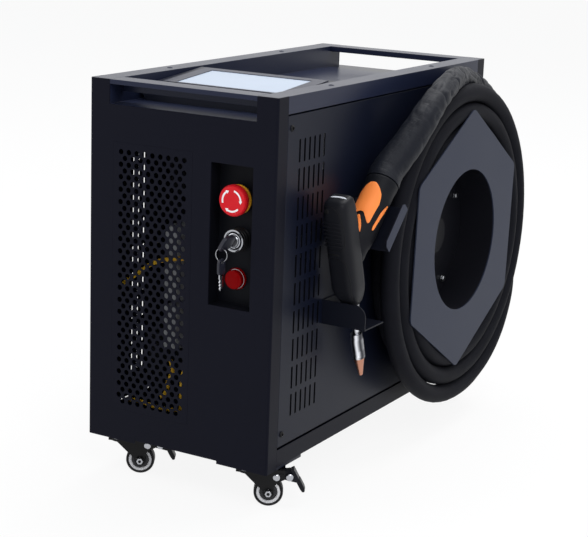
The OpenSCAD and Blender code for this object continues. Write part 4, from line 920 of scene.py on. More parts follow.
class WELDER_OT_camera(WelderOperator, Operator):
    """Place the camera where the photograph was taken"""

    bl_idname = "welder.camera"
    bl_label = "Camera"

    def make(self, scene):
        data = bpy.data.cameras.new("camera")
        camera = bpy.data.objects.new("camera", data)
        scene.collection.objects.link(camera)
        right = Vector((0.8627, 0.5045, 0.0356)).normalized()
        back = Vector((0.4830, -0.8427, 0.2379)).normalized()
        up = back.cross(right).normalized()
        right = up.cross(back)
        turn = Matrix((right, up, back)).transposed().to_4x4()
        camera.matrix_world = Matrix.Translation((1.1021, -1.9310, 0.7864)) @ turn
        data.sensor_fit = "HORIZONTAL"
        data.sensor_width = 36
        data.lens = 98.76
        data.clip_start, data.clip_end = 0.05, 60
        scene.camera = camera


class WELDER_OT_hose(WelderOperator, Operator):
    """Make the hose, from the gland, and its protective sleeve"""

    bl_idname = "welder.hose"
    bl_label = "Hose"

    def make(self, scene):
        size = scene.welder_hose
        path = [p * MM for p in hose_path()]
        hose, length = fabric_tube(
            "supply_hose", path, [HOSE_R * MM] * len(path), size.sides, (size.fold, 16.0, 1.1, 0.0, 3.0),
            "hose_fabric"
        )
        seat(hose, "cabinet", ("hose_lead", "hose_coil", "hose_tail"))
        cover = [p * MM for p in sleeve_path()]
        last = len(cover) - 1
        radii = []
        for i in range(last + 1):
            d = SLEEVE_D0 + (SLEEVE_D1 - SLEEVE_D0) * eased(i / last / TAPER_SHARE)
            end = 1 - 0.11 * eased((i - last + 11) / 11)
            radii.append(d / 2 * end * MM)
        sleeve, length = fabric_tube(
            "gun_sleeve", cover, radii, 4 * size.sides,
            (0.4 * size.sleeve_fold, 52.0, 1.4, size.sleeve_fold, 11.0), "sleeve_fabric"
        )
        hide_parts("hose_sleeve")
        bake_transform(sleeve)


class WELDER_OT_cabinet(WelderOperator, Operator):
    """Finish the sheet-metal cabinet with its tray, vents and screws"""

    bl_idname = "welder.cabinet"
    bl_label = "Cabinet"

    def make(self, scene):
        softened("front_shell", "front_panel", "front_paint", "cabinet", 0.35)
        softened("top_frame", "top_tray", "rim_paint", "cabinet", 0.6)
        softened("handles", "handle_bars", "rim_paint", "cabinet", 0.5,
            moved=self.short_rear_lip)
        softened("side_cover_right", "side_panel_right", "side_paint", "cabinet", 0.8,
            least=0.1, second="inside_sheet", chosen=slot_wall)
        softened("side_cover_left", "side_panel_left", "side_paint", "cabinet", 0.8,
            least=0.1, second="inside_sheet", chosen=slot_wall)
        softened("control_recess", "control_pocket", "pocket_paint", "cabinet", 0.3)
        for node, finish in (
            ("front_grille", "front_paint"), ("rear_panel", "front_paint"), ("base_tray", "front_paint"),
            ("laser_source", "module_dark"), ("power_supply", "module_dark"),
        ):
            finish_node(node, finish)
        self.feet()
        self.screws()
        self.modules()

    def short_rear_lip(self, point):
        """The rear bar's inner lip is the shorter one."""
        if point.y > 0 and point.z < RIM_Z - REAR_LIP:
            return Vector((point.x, point.y, RIM_Z - REAR_LIP))
        return point

    def feet(self):
        """The side walls reach down at each corner, as the front wall does."""
        feet = Piece("corner_skirts")
        for side in (-1, 1):
            for end in (-1, 1):
                low, high = sorted((end * FOOT_FROM, end * FOOT_TO))
                x0, x1 = sorted((side * SIDE_X, side * (SIDE_X - 2)))
                feet.add(block((x0, low, Z0), (x1, high, Z0 + 4.5)), "skirt_paint", round_off=0.4)
        feet.done("cabinet")

    def screws(self):
        head = lathe([(0, 0), (4, 0), (4, 0.7), (3.4, 1.6), (2.3, 2.1), (1.9, 2.2), (1.7, 0.9), (0, 0.9)], 24)
        panel, rim = [], []
        for side in (-1, 1):
            for end in (-1, 1):
                for z in (Z0 + 45.2, Z0 + 434.4):
                    panel.append(((side * PANEL_X, end * 265, z), (side, 0, 0), (0, 1, 0)))
                rim.append(((side * 123.5, end * 146, 528), (0, 0, 1), (1, 0, 0)))
        repeated("panel_screws", head, "black_plastic", panel, "cabinet", ("fasteners",))
        flat = lathe([(0, 0), (3.6, 0), (3.6, 0.3), (3.2, 0.6), (2.2, 0.7), (2.0, 0.3), (0, 0.3)], 24)
        repeated("rim_screws", flat, "rim_paint", rim, "cabinet")

    def modules(self):
        """What shows through the vents: ducts, a rail of modules and the yellow leads."""
        rail = Piece("terminal_rail")
        for low, high in ((250, 288), (190, 241), (125, 183)):
            rail.add(block((-47, -262, Z0 + low), (-27, -222, Z0 + high)), "module_grey", round_off=1.0)
        rail.add(block((-42, -224, Z0 + 110), (-36, -218, Z0 + 330)), "zinc", round_off=0.5)
        rail.done("cabinet")
        ducts = Piece("wiring_ducts")
        x0, x1 = -SIDE_X + 3, -SIDE_X + 6
        for low, high in ((-248, -213.5), (-177, -130)):
            ducts.add(block((x0, low, Z0 + 40), (x1, high, Z0 + 440)), "inside_sheet", round_off=0.4)
        ducts.add(block((x0, -213, Z0 + 20), (x1, -177.5, Z0 + 62)), "inside_sheet", round_off=0.4)
        ducts.done("cabinet")
        leads = Piece("inner_leads")
        for route in (
            [(-112, -262, 202), (-92, -264, 216), (-60, -268, 238), (-30, -270, 248), (4, -266, 254),
            (30, -258, 262)],
            [(-104, -262, 42), (-86, -268, 47), (-62, -270, 46), (-44, -268, 44), (-20, -250, 40)],
            [(-32, -266, 112), (-27, -269, 98), (-33, -270, 82), (-37, -268, 68), (-48, -262, 58)],
            [(6, -255, 250), (0, -262, 220), (-8, -266, 120), (-12, -268, 90), (-13, -268, 60),
            (-16, -262, 40)],
        ):
            path = smooth_path([(x, y, z + Z0) for x, y, z in route], 8)
            leads.add(tube(path, 2.9, 10), "wire_yellow")
        leads.done("cabinet")


class WELDER_OT_console(WelderOperator, Operator):
    """Finish the sloping console with its screen"""

    bl_idname = "welder.console"
    bl_label = "Console"

    def make(self, scene):
        softened("console_case", "console_housing", "console", "cabinet", 1.2, 3,
            moved=self.broad)
        softened("console_bezel", "screen_bezel", "bezel", "cabinet", 0.4,
            moved=self.broad_frame)
        softened("console_screen", "screen_glass", "screen", "cabinet", 0.2, moved=self.tilted)

    def tilted(self, point):
        """The slope's own fall, eased from the CAD model's about its back edge."""
        back = point.y - CONSOLE_BACK
        fall = back * (CONSOLE_SLOPE - CONSOLE_EASE) + CONSOLE_SINK if point.z > TRAY_Z + 3 else 0.0
        return Vector((point.x, point.y, point.z - fall))

    def broad(self, point):
        """The case fills the tray from side to side and reaches back."""
        moved = self.tilted(point)
        if point.z > TRAY_Z - 1:
            moved.x *= CONSOLE_BROAD
            if point.y > CONSOLE_BACK - 3:
                moved += Vector((0, CONSOLE_REACH, -1.0 if point.z > TRAY_Z + 3 else 0))
        return moved

    def broad_frame(self, point):
        moved = self.tilted(point)
        if abs(point.x) > SCREEN_HALF + 0.5:
            moved.x += math.copysign(BEZEL_SIDE, point.x)
        return moved


class WELDER_OT_controls(WelderOperator, Operator):
    """Make the emergency stop, the key switch with its keys, and the lamp"""

    bl_idname = "welder.controls"
    bl_label = "Controls"

    def make(self, scene):
        self.stop()
        self.key_switch()
        self.keys()
        self.lamp()

    def stop(self):
        place = out_of_front(CONTROL_X, STOP_Z - STOP_DROP)
        head = Piece("stop_head")
        profile = [
            (0, 8.4), (13.6, 8.4), (14.0, 8.9), (14.0, 12.0), (18.1, 12.4), (18.8, 12.9), (19.1, 13.8),
            (19.1, 19.0),
            (18.9, 20.8), (18.2, 22.2), (17.0, 23.1), (15.7, 23.2), (14.9, 22.9), (8, 22.5), (0, 22.4),
        ]
        head.add(lathe(profile, 96), "stop_red", place)
        head.done("estop_head", ("estop_head",))
        ridge = prism([(-0.75, -0.5), (0.75, -0.5), (0.55, 0.5), (0, 0.75), (-0.55, 0.5)], -3.0, 3.0)
        places = []
        for k in range(48):
            a = 2 * math.pi * k / 48
            out = Vector((math.cos(a), math.sin(a), 0))
            point = place @ (out * 19.1 + Vector((0, 0, 16.6)))
            side = (place.to_3x3() @ Vector((-math.sin(a), math.cos(a), 0)))
            places.append((point, place.to_3x3() @ Vector((0, 0, 1)), side))
        repeated("stop_ridges", ridge, "stop_red", places, "estop_head")
        marks = Piece("stop_arrows")
        for first in (196, 76, -44):
            marks.add(self.arrow(first, -88), "mark_white", place)
        marks.done("estop_head")
        collar = Piece("stop_collar")
        collar.add(lathe([(14.8, 5.0), (18.0, 5.0), (18.4, 5.4), (18.4, 7.2), (18.0, 7.6), (14.8, 7.6)],
            72, True), "ring_yellow", place)
        collar.add(lathe([(10.6, 0.3), (16.8, 0.3), (17.2, 0.8), (17.2, 5.1), (14.6, 5.1), (14.6, 3.2),
            (10.6, 3.2)], 64, True), "black_plastic", place)
        bore = out_of_front(CONTROL_X, STOP_Z)
        collar.add(lathe([(8.1, -26), (11, -26), (11, 0.3), (8.1, 0.3)], 32, True), "black_plastic", bore)
        collar.done("cabinet", ("estop_collar",))
        finish_node("estop_stem", "black_plastic")

    def arrow(self, first, sweep):
        """A bent arrow on the face of the stop, from one angle round to another."""
        steps, low, high, inner, outer = 18, 22.2, 22.95, 11.9, 14.2
        middle = (inner + outer) / 2
        side_a, side_b = [], []
        for k in range(steps + 1):
            a = math.radians(first + sweep * 0.8 * k / steps)
            side_a.append((inner * math.cos(a), inner * math.sin(a)))
            side_b.append((outer * math.cos(a), outer * math.sin(a)))
        a = math.radians(first + sweep * 0.8)
        tip = math.radians(first + sweep)
        barbs = [((middle - 2.5) * math.cos(a), (middle - 2.5) * math.sin(a)),
            (middle * math.cos(tip), middle * math.sin(tip)),
                 ((middle + 2.5) * math.cos(a), (middle + 2.5) * math.sin(a))]
        outline = side_a + barbs + side_b[::-1]
        n = len(outline)
        points = [(x, y, low) for x, y in outline] + [(x, y, high) for x, y in outline]
        faces = [[k, (k + 1) % n, n + (k + 1) % n, n + k] for k in range(n)]
        for base in (0, n):
            for k in range(steps):
                faces.append([base + k, base + k + 1, base + n - 2 - k, base + n - 1 - k])
            faces.append([base + steps, base + steps + 1, base + steps + 2, base + steps + 3,
                base + steps + 4])
        return points, faces

    def key_switch(self):
        place = out_of_front(CONTROL_X, SWITCH_Z)
        body = Piece("switch_body")
        body.add(lathe([(10.1, 0), (15.2, 0), (15.2, 1.6), (14.5, 2.2), (14.5, 6.6), (14.0, 7.0),
            (14.0, 7.8), (14.5, 8.2),
                        (14.5, 11.6), (13.6, 12.4), (10.1, 12.4)], 64, True), "black_plastic", place)
        body.add(lathe([(10.9, 12.2), (13.9, 12.2), (14.2, 13.0), (14.2, 15.5), (13.9, 16.1),
            (12.2, 16.3), (11.4, 15.7), (10.9, 14.4)], 64, True), "chrome", place)
        body.add(lathe([(9.9, -26), (11, -26), (11, 0), (9.9, 0)], 32, True), "black_plastic", place)
        body.done("cabinet", ("key_switch_body",))
        turned = place @ Matrix.Rotation(math.radians(-30), 4, "Z")
        plug = Piece("switch_plug")
        plug.add(lathe([(0, 0.4), (9.9, 0.4), (9.9, 14.6), (9.5, 15.8), (8.6, 16.2), (7.9, 15.7),
            (7.6, 14.9), (7.2, 14.9), (7.0, 16.6), (6.6, 17.0), (0, 17.0)], 64), "chrome", turned)
        plug.add(block((-1.4, -4.6, 16.9), (1.4, 4.6, 17.05)), "black_plastic", turned)
        plug.done("key_cylinder", ("key_cylinder",))

    def bow(self, width, length, hole_at, hole_r):
        """A key's bow in x and y with a hole, as a ring of quads between outline and hole."""
        steps = 40
        outline = []
        for k in range(steps):
            a = 2 * math.pi * k / steps
            c, s = math.cos(a), math.sin(a)
            reach = 1 / ((abs(c) / (width / 2)) ** 4 + (abs(s) / (length / 2)) ** 4) ** 0.25
            outline.append(Vector((reach * c, reach * s)))
        hole = [Vector(hole_at) + hole_r * (p - Vector(hole_at)).normalized() for p in outline]
        return outline, hole

    def bow_shape(self, width, length, thick, hole_at, hole_r):
        outline, hole = self.bow(width, length, hole_at, hole_r)
        n = len(outline)
        rings = []
        for part, z in (
            (hole, -thick / 2), (outline, -thick / 2), (outline, thick / 2), (hole, thick / 2),
        ):
            rings.append([(p.x, p.y, z) for p in part])
        points = [p for ring in rings for p in ring]
        faces = []
        for i in range(4):
            j = (i + 1) % 4
            for k in range(n):
                m = (k + 1) % n
                faces.append([i * n + k, i * n + m, j * n + m, j * n + k])
        return points, faces

    def keys(self):
        turned = out_of_front(CONTROL_X, SWITCH_Z) @ Matrix.Rotation(math.radians(-30), 4, "Z")
        upright = turned @ Matrix.Translation((0, 0, 31)) @ Matrix.Rotation(math.pi / 2, 4, "Y")
        key = Piece("key_in_switch")
        key.add(self.bow_shape(25, 21, 4.2, (-5, -8), 2.5), "key_plastic", upright, round_off=0.9, steps=3)
        key.add(block((-1, -4, 3), (1, 4, 21.5)), "chrome", turned, round_off=0.3)
        key.add(block((-2.0, -6.5, 17.2), (2.0, 6.5, 21.2)), "key_plastic", turned, round_off=0.8)
        key.done("main_key", ("main_key",))
        hole = out_of_front(CONTROL_X, SWITCH_Z) @ Vector((-4, -6.928, 36))
        centre = hole + Vector((0, 0, 0.45 - 8.2))
        ring = Piece("split_ring")
        path = []
        for k in range(96):
            t = k / 95
            a = math.radians(120 + 2 * 352 * t)
            path.append(centre + Vector((8.2 * math.cos(a), 0.85 * (t - 0.5), 8.2 * math.sin(a))))
        ring.add(tube(path, 0.45, 8), "chrome")
        ring.done("key_ring", ("key_ring",))
        hang = Matrix.Translation(centre - Vector((0, 0, 8.2 + 1.22)))
        facing = hang @ Matrix(((0, 0, 1), (1, 0, 0), (0, 1, 0))).to_4x4()
        spare = Piece("key_spare")
        spare.add(self.bow_shape(15, 20, 3.4, (0, 5.5), 2.5), "key_plastic",
            facing @ Matrix.Translation((0, -5.5, 0)), round_off=0.8, steps=3)
        teeth = [(-4, -15), (4, -15), (4, -31), (3, -33), (1, -35), (-1.5, -35), (-2.6, -33),
            (-1.4, -31), (-3.4, -29), (-1.8, -27),
                 (-3.8, -25), (-2.2, -22.5), (-4, -20)]
        spare.add(prism(teeth, -1, 1), "chrome", facing, round_off=0.2)
        spare.add(prism([(0.4, -17), (1.4, -17), (1.4, -33), (0.4, -33)], -1.15, 1.15), "steel", facing)
        spare.done("spare_key", ("spare_key",))

    def lamp(self):
        place = out_of_front(CONTROL_X - LAMP_ASIDE, LAMP_Z)
        lamp = Piece("lamp_lens")
        lamp.add(lathe([(0, 1), (11.8, 1), (12.1, 3.4), (12.1, 8.8), (11.8, 9.9), (11.0, 10.5),
            (9.8, 10.7), (0, 10.9)], 72), "lens_red", place)
        lamp.add(lathe([(10.6, 0), (13.8, 0), (13.8, 2.4), (13.2, 3.4), (12.4, 3.7), (10.6, 3.7)], 72,
            True), "lens_red", place)
        lamp.add(lathe([(11.9, 3.6), (12.6, 3.6), (12.6, 3.9), (12.3, 4.1), (11.9, 4.1)], 72, True),
            "steel", place)
        lamp.add(lathe([(0, -26), (7.5, -26), (7.5, 0.2), (0, 0.2)], 32), "black_plastic", place)
        lamp.done("cabinet", ("indicator_lamp",))


class WELDER_OT_reel(WelderOperator, Operator):
    """Finish the hose reel with its plate and bolts"""

    bl_idname = "welder.reel"
    bl_label = "Reel"

    def make(self, scene):
        softened("reel_front_plate", "reel_plate", "plate_paint", "cabinet", 0.35)
        finish_node("reel_drum", "drum_paint")
        place = reel_frame()
        bolt = lathe([(0, 0), (6.4, 0), (6.4, 0.8), (5.0, 0.9), (5.0, 3.6), (4.2, 4.6), (0, 4.9)], 6)
        washer = lathe([(0, 0), (6.4, 0), (6.4, 0.9), (0, 1.0)], 32)
        spots = []
        for k in range(4):
            a = math.radians(32 + 90 * k)
            spots.append((place @ Vector((88 * math.cos(a), 88 * math.sin(a), 2)), (1, 0, 0),
                (0, math.cos(a), math.sin(a))))
        repeated("reel_bolts", bolt, "steel", spots, "cabinet", round_off=0.3)
        repeated("reel_washers", washer, "module_dark", spots, "cabinet")


class WELDER_OT_gun(WelderOperator, Operator):
    """Make the welding gun with its grip, trigger and nozzle"""

    bl_idname = "welder.gun"
    bl_label = "Gun"

    def make(self, scene):
        self.head()
        self.grip()
        self.nozzle()
        softened("trigger", "gun_trigger", "black_plastic", "gun_trigger", 0.8, 3)

    def head_ring(self, s, half, front, back, power=4.5, count=64):
        ring = []
        for k in range(count):
            a = 2 * math.pi * k / count
            c, n = math.cos(a), math.sin(a)
            reach_y = back if n > 0 else front
            size = 1 / (abs(c) ** power + abs(n) ** power) ** (1 / power)
            ring.append((half * c * size, reach_y * n * size, s))
        return ring

    def head(self):
        place = gun_frame()
        stations = [
            (110.0, 8.5, 8.0, 6.0), (110.8, 10.2, 9.8, 7.6), (113.0, 11.8, 11.6, 8.4),
            (119.0, 14.2, 15.0, 9.2),
            (128.0, 16.8, 20.2, 9.9), (137.0, 18.0, 23.5, 10.0), (142.0, 18.3, 24.0, 10.0),
            (190.0, 18.3, 24.0, 10.0),
            (236.0, 18.1, 24.0, 10.0), (247.5, 17.5, 23.3, 9.8), (255.5, 16.6, 21.8, 9.2),
            (260.0, 15.4, 20.0, 8.4),
            (262.5, 13.2, 17.4, 7.0), (263.5, 9.8, 13.0, 5.0),
        ]
        rings = [self.head_ring(*station) for station in stations]
        head = Piece("gun_head")
        head.add(loft(rings), "gun_plastic")
        surface = BVHTree.FromBMesh(head.mesh)
        for path in (
            [(-16, 257), (-4, 258), (6, 253), (11, 242), (13, 223), (12, 206), (6, 199), (-8, 198),
            (-17, 198)],
            [(-17, 186), (2, 186), (9, 183), (12, 172), (14, 150), (12, 128), (9, 116)],
        ):
            line = []
            for p in smooth_path([(x, s, 0) for x, s in path], 8):
                hit = surface.ray_cast(Vector((p.x, -60, p.y)), Vector((0, 1, 0)))[0]
                if hit is not None:
                    line.append(hit + Vector((0, -0.05, 0)))
            head.add(tube(line, 0.38, 6), "black_plastic")
        head.add(lathe([(0, 0), (3.2, 0), (3.2, 0.5), (2.6, 0.9), (1.6, 0.9), (1.4, 0.3), (0, 0.3)], 24),
            "black_plastic",
                 Matrix.Translation((-8.5, -22.7, 252.0)) @ Matrix.Rotation(math.radians(84), 4, "X"))
        head.add(block((-13, -24.35, 190.6), (3, -23.4, 193.0)), "black_plastic", round_off=0.3)
        # The pale strip on the head's top is a painted highlight.
        head.add(self.highlight_strip(surface), "cap_pale", round_off=0.2)
        head.done("gun", ("gun_housing",), place=place)
        turn = place.to_3x3()
        spots = []
        for k in range(7):
            spots.append((place @ Vector((-3.5, -23.9, 204.5 + 5.4 * k)), turn @ Vector((0, 0, 1)),
                turn @ Vector((1, 0, 0))))
        repeated("gun_ribs", block((-12.5, -0.9, -1.2), (12.5, 0.9, 1.2)), "gun_plastic", spots, "gun",
            round_off=0.7)

    def highlight_strip(self, surface):
        """A strip let into the top of the head, from side to side; its pale colour is a painted highlight."""
        across, wide = 24, 4
        upper = []
        for k in range(across + 1):
            u = 2 * k / across - 1
            half = 1.7 * (1 - abs(u) ** 5) + 0.15
            for i in range(wide + 1):
                y = -3.0 - 2.2 * u * u + half * (2 * i / wide - 1)
                hit = surface.ray_cast(Vector((11.5 * u, y, 300)), Vector((0, 0, -1)))[0]
                upper.append(hit + Vector((0, 0, 0.3)))
        lower = [p - Vector((0, 0, 1.3)) for p in upper]
        return slab(upper, lower, across, wide)

    def grip_radius(self, l):
        knots = [(8, 17.9), (22, 18.4), (34, 20.2), (46, 21.0), (66, 21.0), (84, 20.4), (105, 20.8)]
        for (a, ra), (b, rb) in zip(knots, knots[1:]):
            if l <= b:
                return ra + (rb - ra) * eased((l - a) / (b - a))
        return knots[-1][1]

    def grip(self):
        place = grip_frame()
        grip = Piece("gun_grip_body")
        profile = [(0, 4)] + [(self.grip_radius(l), l) for l in (4, 8, 14, 18, 22, 26, 30, 34, 38, 42,
            46, 56, 66, 72, 78, 84, 92, 100, 105)] + [(0, 105)]
        grip.add(lathe(profile, 72), "grip_rubber", place)
        grip.add(tube([Vector((math.cos(a) * 20.9, math.sin(a) * 20.9,
            62 - 5 * abs(math.sin(a / 2 + math.pi / 4)))) for a in [2 * math.pi * k / 72 for k in range(72)]], 0.4, 6, True), "black_plastic", place)
        grip.done("gun", ("gun_grip",))
        insert = Piece("grip_insert")
        insert.add(self.shell(self.by_angle(UPPER_LOW, UPPER_HIGH, 51.5, 104)), "orange_plastic", place,
            round_off=0.2)
        insert.add(self.shell(self.by_angle(LOWER_LOW, LOWER_HIGH, 28.0, 56)), "orange_plastic", place,
            round_off=0.2)
        for side in (-1, 1):
            insert.add(self.shell(self.by_length(SIDE_NEAR, SIDE_FAR, side), 0.35), "orange_plastic",
                place, round_off=0.1)
        insert.done("gun", ("gun_grip_insert",))
        collar = Piece("grip_collar")
        collar.add(lathe([(0, 103), (20.6, 103), (20.8, 104), (20.9, 112), (21.5, 116), (21.9, 119),
            (21.9, 122), (21.2, 123), (0, 123)], 64), "collar_plastic", place)
        collar.done("gun", ("gun_collar",))

    def between(self, knots, x):
        for (x0, y0), (x1, y1) in zip(knots, knots[1:]):
            if x <= x1:
                return y0 + (y1 - y0) * (x - x0) / (x1 - x0)
        return knots[-1][1]

    def by_angle(self, low, high, reach, across, steps=16):
        """Grid of (angle from the grip's top, distance along the grip), column by column."""
        grid = []
        for k in range(across + 1):
            a = reach * (2 * k / across - 1)
            l0, l1 = self.between(low, abs(a)), self.between(high, abs(a))
            grid.append([(a, l0 + (l1 - l0) * i / steps) for i in range(steps + 1)])
        return grid

    def by_length(self, near, far, side, across=64, steps=6):
        grid = []
        for k in range(across + 1):
            l = near[0][0] + (near[-1][0] - near[0][0]) * k / across
            a0, a1 = self.between(near, l), self.between(far, l)
            grid.append([(side * (a0 + (a1 - a0) * i / steps), l) for i in range(steps + 1)])
        return grid

    def shell(self, grid, ribs=0.0):
        """A thin shell on the grip over a grid of angles and distances."""
        outer, inner = [], []
        for column in grid:
            for a, l in column:
                turn, r = math.radians(a - 90), self.grip_radius(min(l, 105.0))
                for layer, lift in ((outer, 0.7 + ribs * abs(math.sin(math.pi * l / 4.2))), (inner, -0.8)):
                    layer.append(Vector(((r + lift) * math.cos(turn), (r + lift) * math.sin(turn), l)))
        return slab(outer, inner, len(grid) - 1, len(grid[0]) - 1)

    def nozzle(self):
        place = gun_frame()
        nozzle = Piece("nozzle_body")
        profile = [(0, 27), (8.0, 27), (8.8, 28)]
        for k in range(6):
            z = 31 + k * 1.6
            profile += [(8.8, z), (8.45, z + 0.4), (8.45, z + 0.8), (8.8, z + 1.2)]
        profile += [(8.8, 56), (8.2, 57.4), (8.0, 58), (8.0, 62.6), (7.4, 64), (0, 64)]
        # The nozzle's steel carries painted reflections as streaks in its colour.
        nozzle.add(lathe(profile, 64), "nozzle_steel", place)
        nozzle.done("gun", ("gun_nozzle",))
        stem = Piece("nozzle_stem")
        stem.add(lathe([(0, 64), (4, 64), (4, 86), (4.6, 87), (5.6, 88), (5.6, 96), (7.6, 98),
            (8.6, 100), (8.6, 109), (0, 109)], 48), "nozzle_steel", place)
        stem.done("gun", ("gun_nozzle_tube",))
        tip = Piece("nozzle_tip")
        tip.add(lathe([(0, 3), (1.2, 3), (1.2, 0), (2.5, 0), (2.8, 0.6), (3.2, 3), (6.6, 22.5),
            (7.0, 23.6), (7.0, 26), (6.6, 27), (0, 27)], 48), "copper", place)
        tip.done("gun", ("gun_tip",))


class WELDER_OT_holder(WelderOperator, Operator):
    """Finish the shelf and the cradle that hold the gun"""

    bl_idname = "welder.holder"
    bl_label = "Gun holder"

    def make(self, scene):
        softened("gun_shelf", "holder_shelf", "holder_paint", "cabinet", 0.3)
        # The cradle's inner plate gets the dark holder paint as painted shade; only its outward lip gets the
        # pale plate paint.
        softened("gun_cradle", "holder_cradle", "holder_paint", "cabinet", 0.3,
            second="plate_paint", chosen=faces_out_of_shade)


class WELDER_OT_casters(WelderOperator, Operator):
    """Make the casters with their forks, wheels and brake pedals"""

    bl_idname = "welder.casters"
    bl_label = "Casters"

    def make(self, scene):
        finish_node("caster_plates", "zinc")
        for side, end, mark in ((-1, -1, "fl"), (1, -1, "fr"), (-1, 1, "rl"), (1, 1, "rr")):
            place = caster_frame(side, end)
            softened("caster_fork_" + mark, "fork_" + mark, "fork_black", "fork_" + mark, 0.4)
            self.wheel(mark, place)
            self.hardware(mark, place, end < 0)
            if end < 0:
                self.pedal(mark, place)

    def wheel(self, mark, place):
        axle = place @ Matrix.Translation((TRAIL, 0, AXLE_Z)) @ Matrix.Rotation(math.pi / 2, 4, "X")
        wheel = Piece("caster_wheel_" + mark)
        wheel.add(lathe([(15.4, -7.6), (17.2, -8.4), (18.3, -7.9), (18.9, -6.6), (19, -4), (19, 4),
            (18.9, 6.6), (18.3, 7.9), (17.2, 8.4), (15.4, 7.6)], 72, True), "tyre", axle)
        wheel.add(lathe([(11.6, -6.6), (12.3, -7.5), (14.9, -7.7), (15.6, -7.0), (15.6, 7.0),
            (14.9, 7.7), (12.3, 7.5), (11.6, 6.6)], 72, True), "rim_white", axle)
        # The hub's dark grey inside the white rim is painted shade.
        wheel.add(lathe([(4.1, -9.0), (6.6, -9.0), (7.2, -8.0), (8.4, -6.2), (11.8, -5.8), (11.8, 5.8),
            (8.4, 6.2), (7.2, 8.0), (6.6, 9.0), (4.1, 9.0)], 48, True), "hub_grey", axle)
        wheel.done("wheel_" + mark, ("wheel_" + mark,))

    def hardware(self, mark, place, braked):
        """Bolt heads, washers and rivets on the fork's cheeks."""
        metal = Piece("caster_bolts_" + mark)
        for s in (-1, 1):
            out = Matrix.Translation((TRAIL, s * 11.5, AXLE_Z)) @ Matrix.Rotation(-s * math.pi / 2, 4, "X")
            metal.add(lathe([(0, 0), (5.3, 0), (5.3, 0.9), (4.7, 1.2)], 48), "steel", place @ out)
            metal.add(lathe([(0, 0.9), (4.9, 0.9), (4.9, 3.4), (4.2, 4.2), (2.4, 4.4), (2.1, 3.7),
                (0, 3.6)], 6), "chrome", place @ out, round_off=0.25)
            if braked:
                for u, v in ((TRAIL + 9.9, 40.5), (TRAIL + 26.7, 41.2)):
                    spot = Matrix.Translation((u, s * 11.3, v)) @ Matrix.Rotation(-s * math.pi / 2, 4, "X")
                    metal.add(lathe([(0, 0), (4.9, 0), (4.9, 0.6), (4.2, 1.6), (2.6, 2.2), (0, 2.4)],
                        36), "chrome", place @ spot)
        metal.done("fork_" + mark)

    def pedal(self, mark, place):
        softened("caster_pedal_" + mark, "pedal_" + mark, "pedal_black", "pedal_" + mark, 0.6)
        drop = math.radians(-62)
        along = Vector((math.cos(drop), 0, math.sin(drop)))
        across = Vector((-math.sin(drop), 0, math.cos(drop)))
        turned = Matrix((along, Vector((0, 1, 0)), -along.cross(Vector((0, 1, 0))))).transposed().to_4x4()
        spot = Matrix.Translation(Vector((TRAIL + 30, 0,
            AXLE_Z + 30)) + along * 22.5 + across * 0.25) @ turned
        cap = Piece("caster_pedal_cap_" + mark)
        cap.add(prism(rounded_outline(17.0, 16.5, 5.0), -2.9, 2.9), "pedal_black", place @ spot,
            round_off=1.2, steps=3)
        cap.done("pedal_" + mark)


class WELDER_OT_rear(WelderOperator, Operator):
    """Finish the fans, the breaker and the inlets at the rear"""

    bl_idname = "welder.rear"
    bl_label = "Rear"

    def make(self, scene):
        for node, finish in (
            ("fan_frames", "black_plastic"), ("fan_rotor_upper", "black_plastic"),
            ("fan_rotor_lower", "black_plastic"),
            ("hose_gland", "black_plastic"), ("mains_gland", "black_plastic"), ("gas_inlet", "brass"),
        ):
            finish_node(node, finish)
        softened("breaker_case", "breaker_body", "breaker_white", "cabinet", 0.8)
        softened("breaker_toggle", "breaker_lever", "black_plastic", "breaker_lever", 0.8)


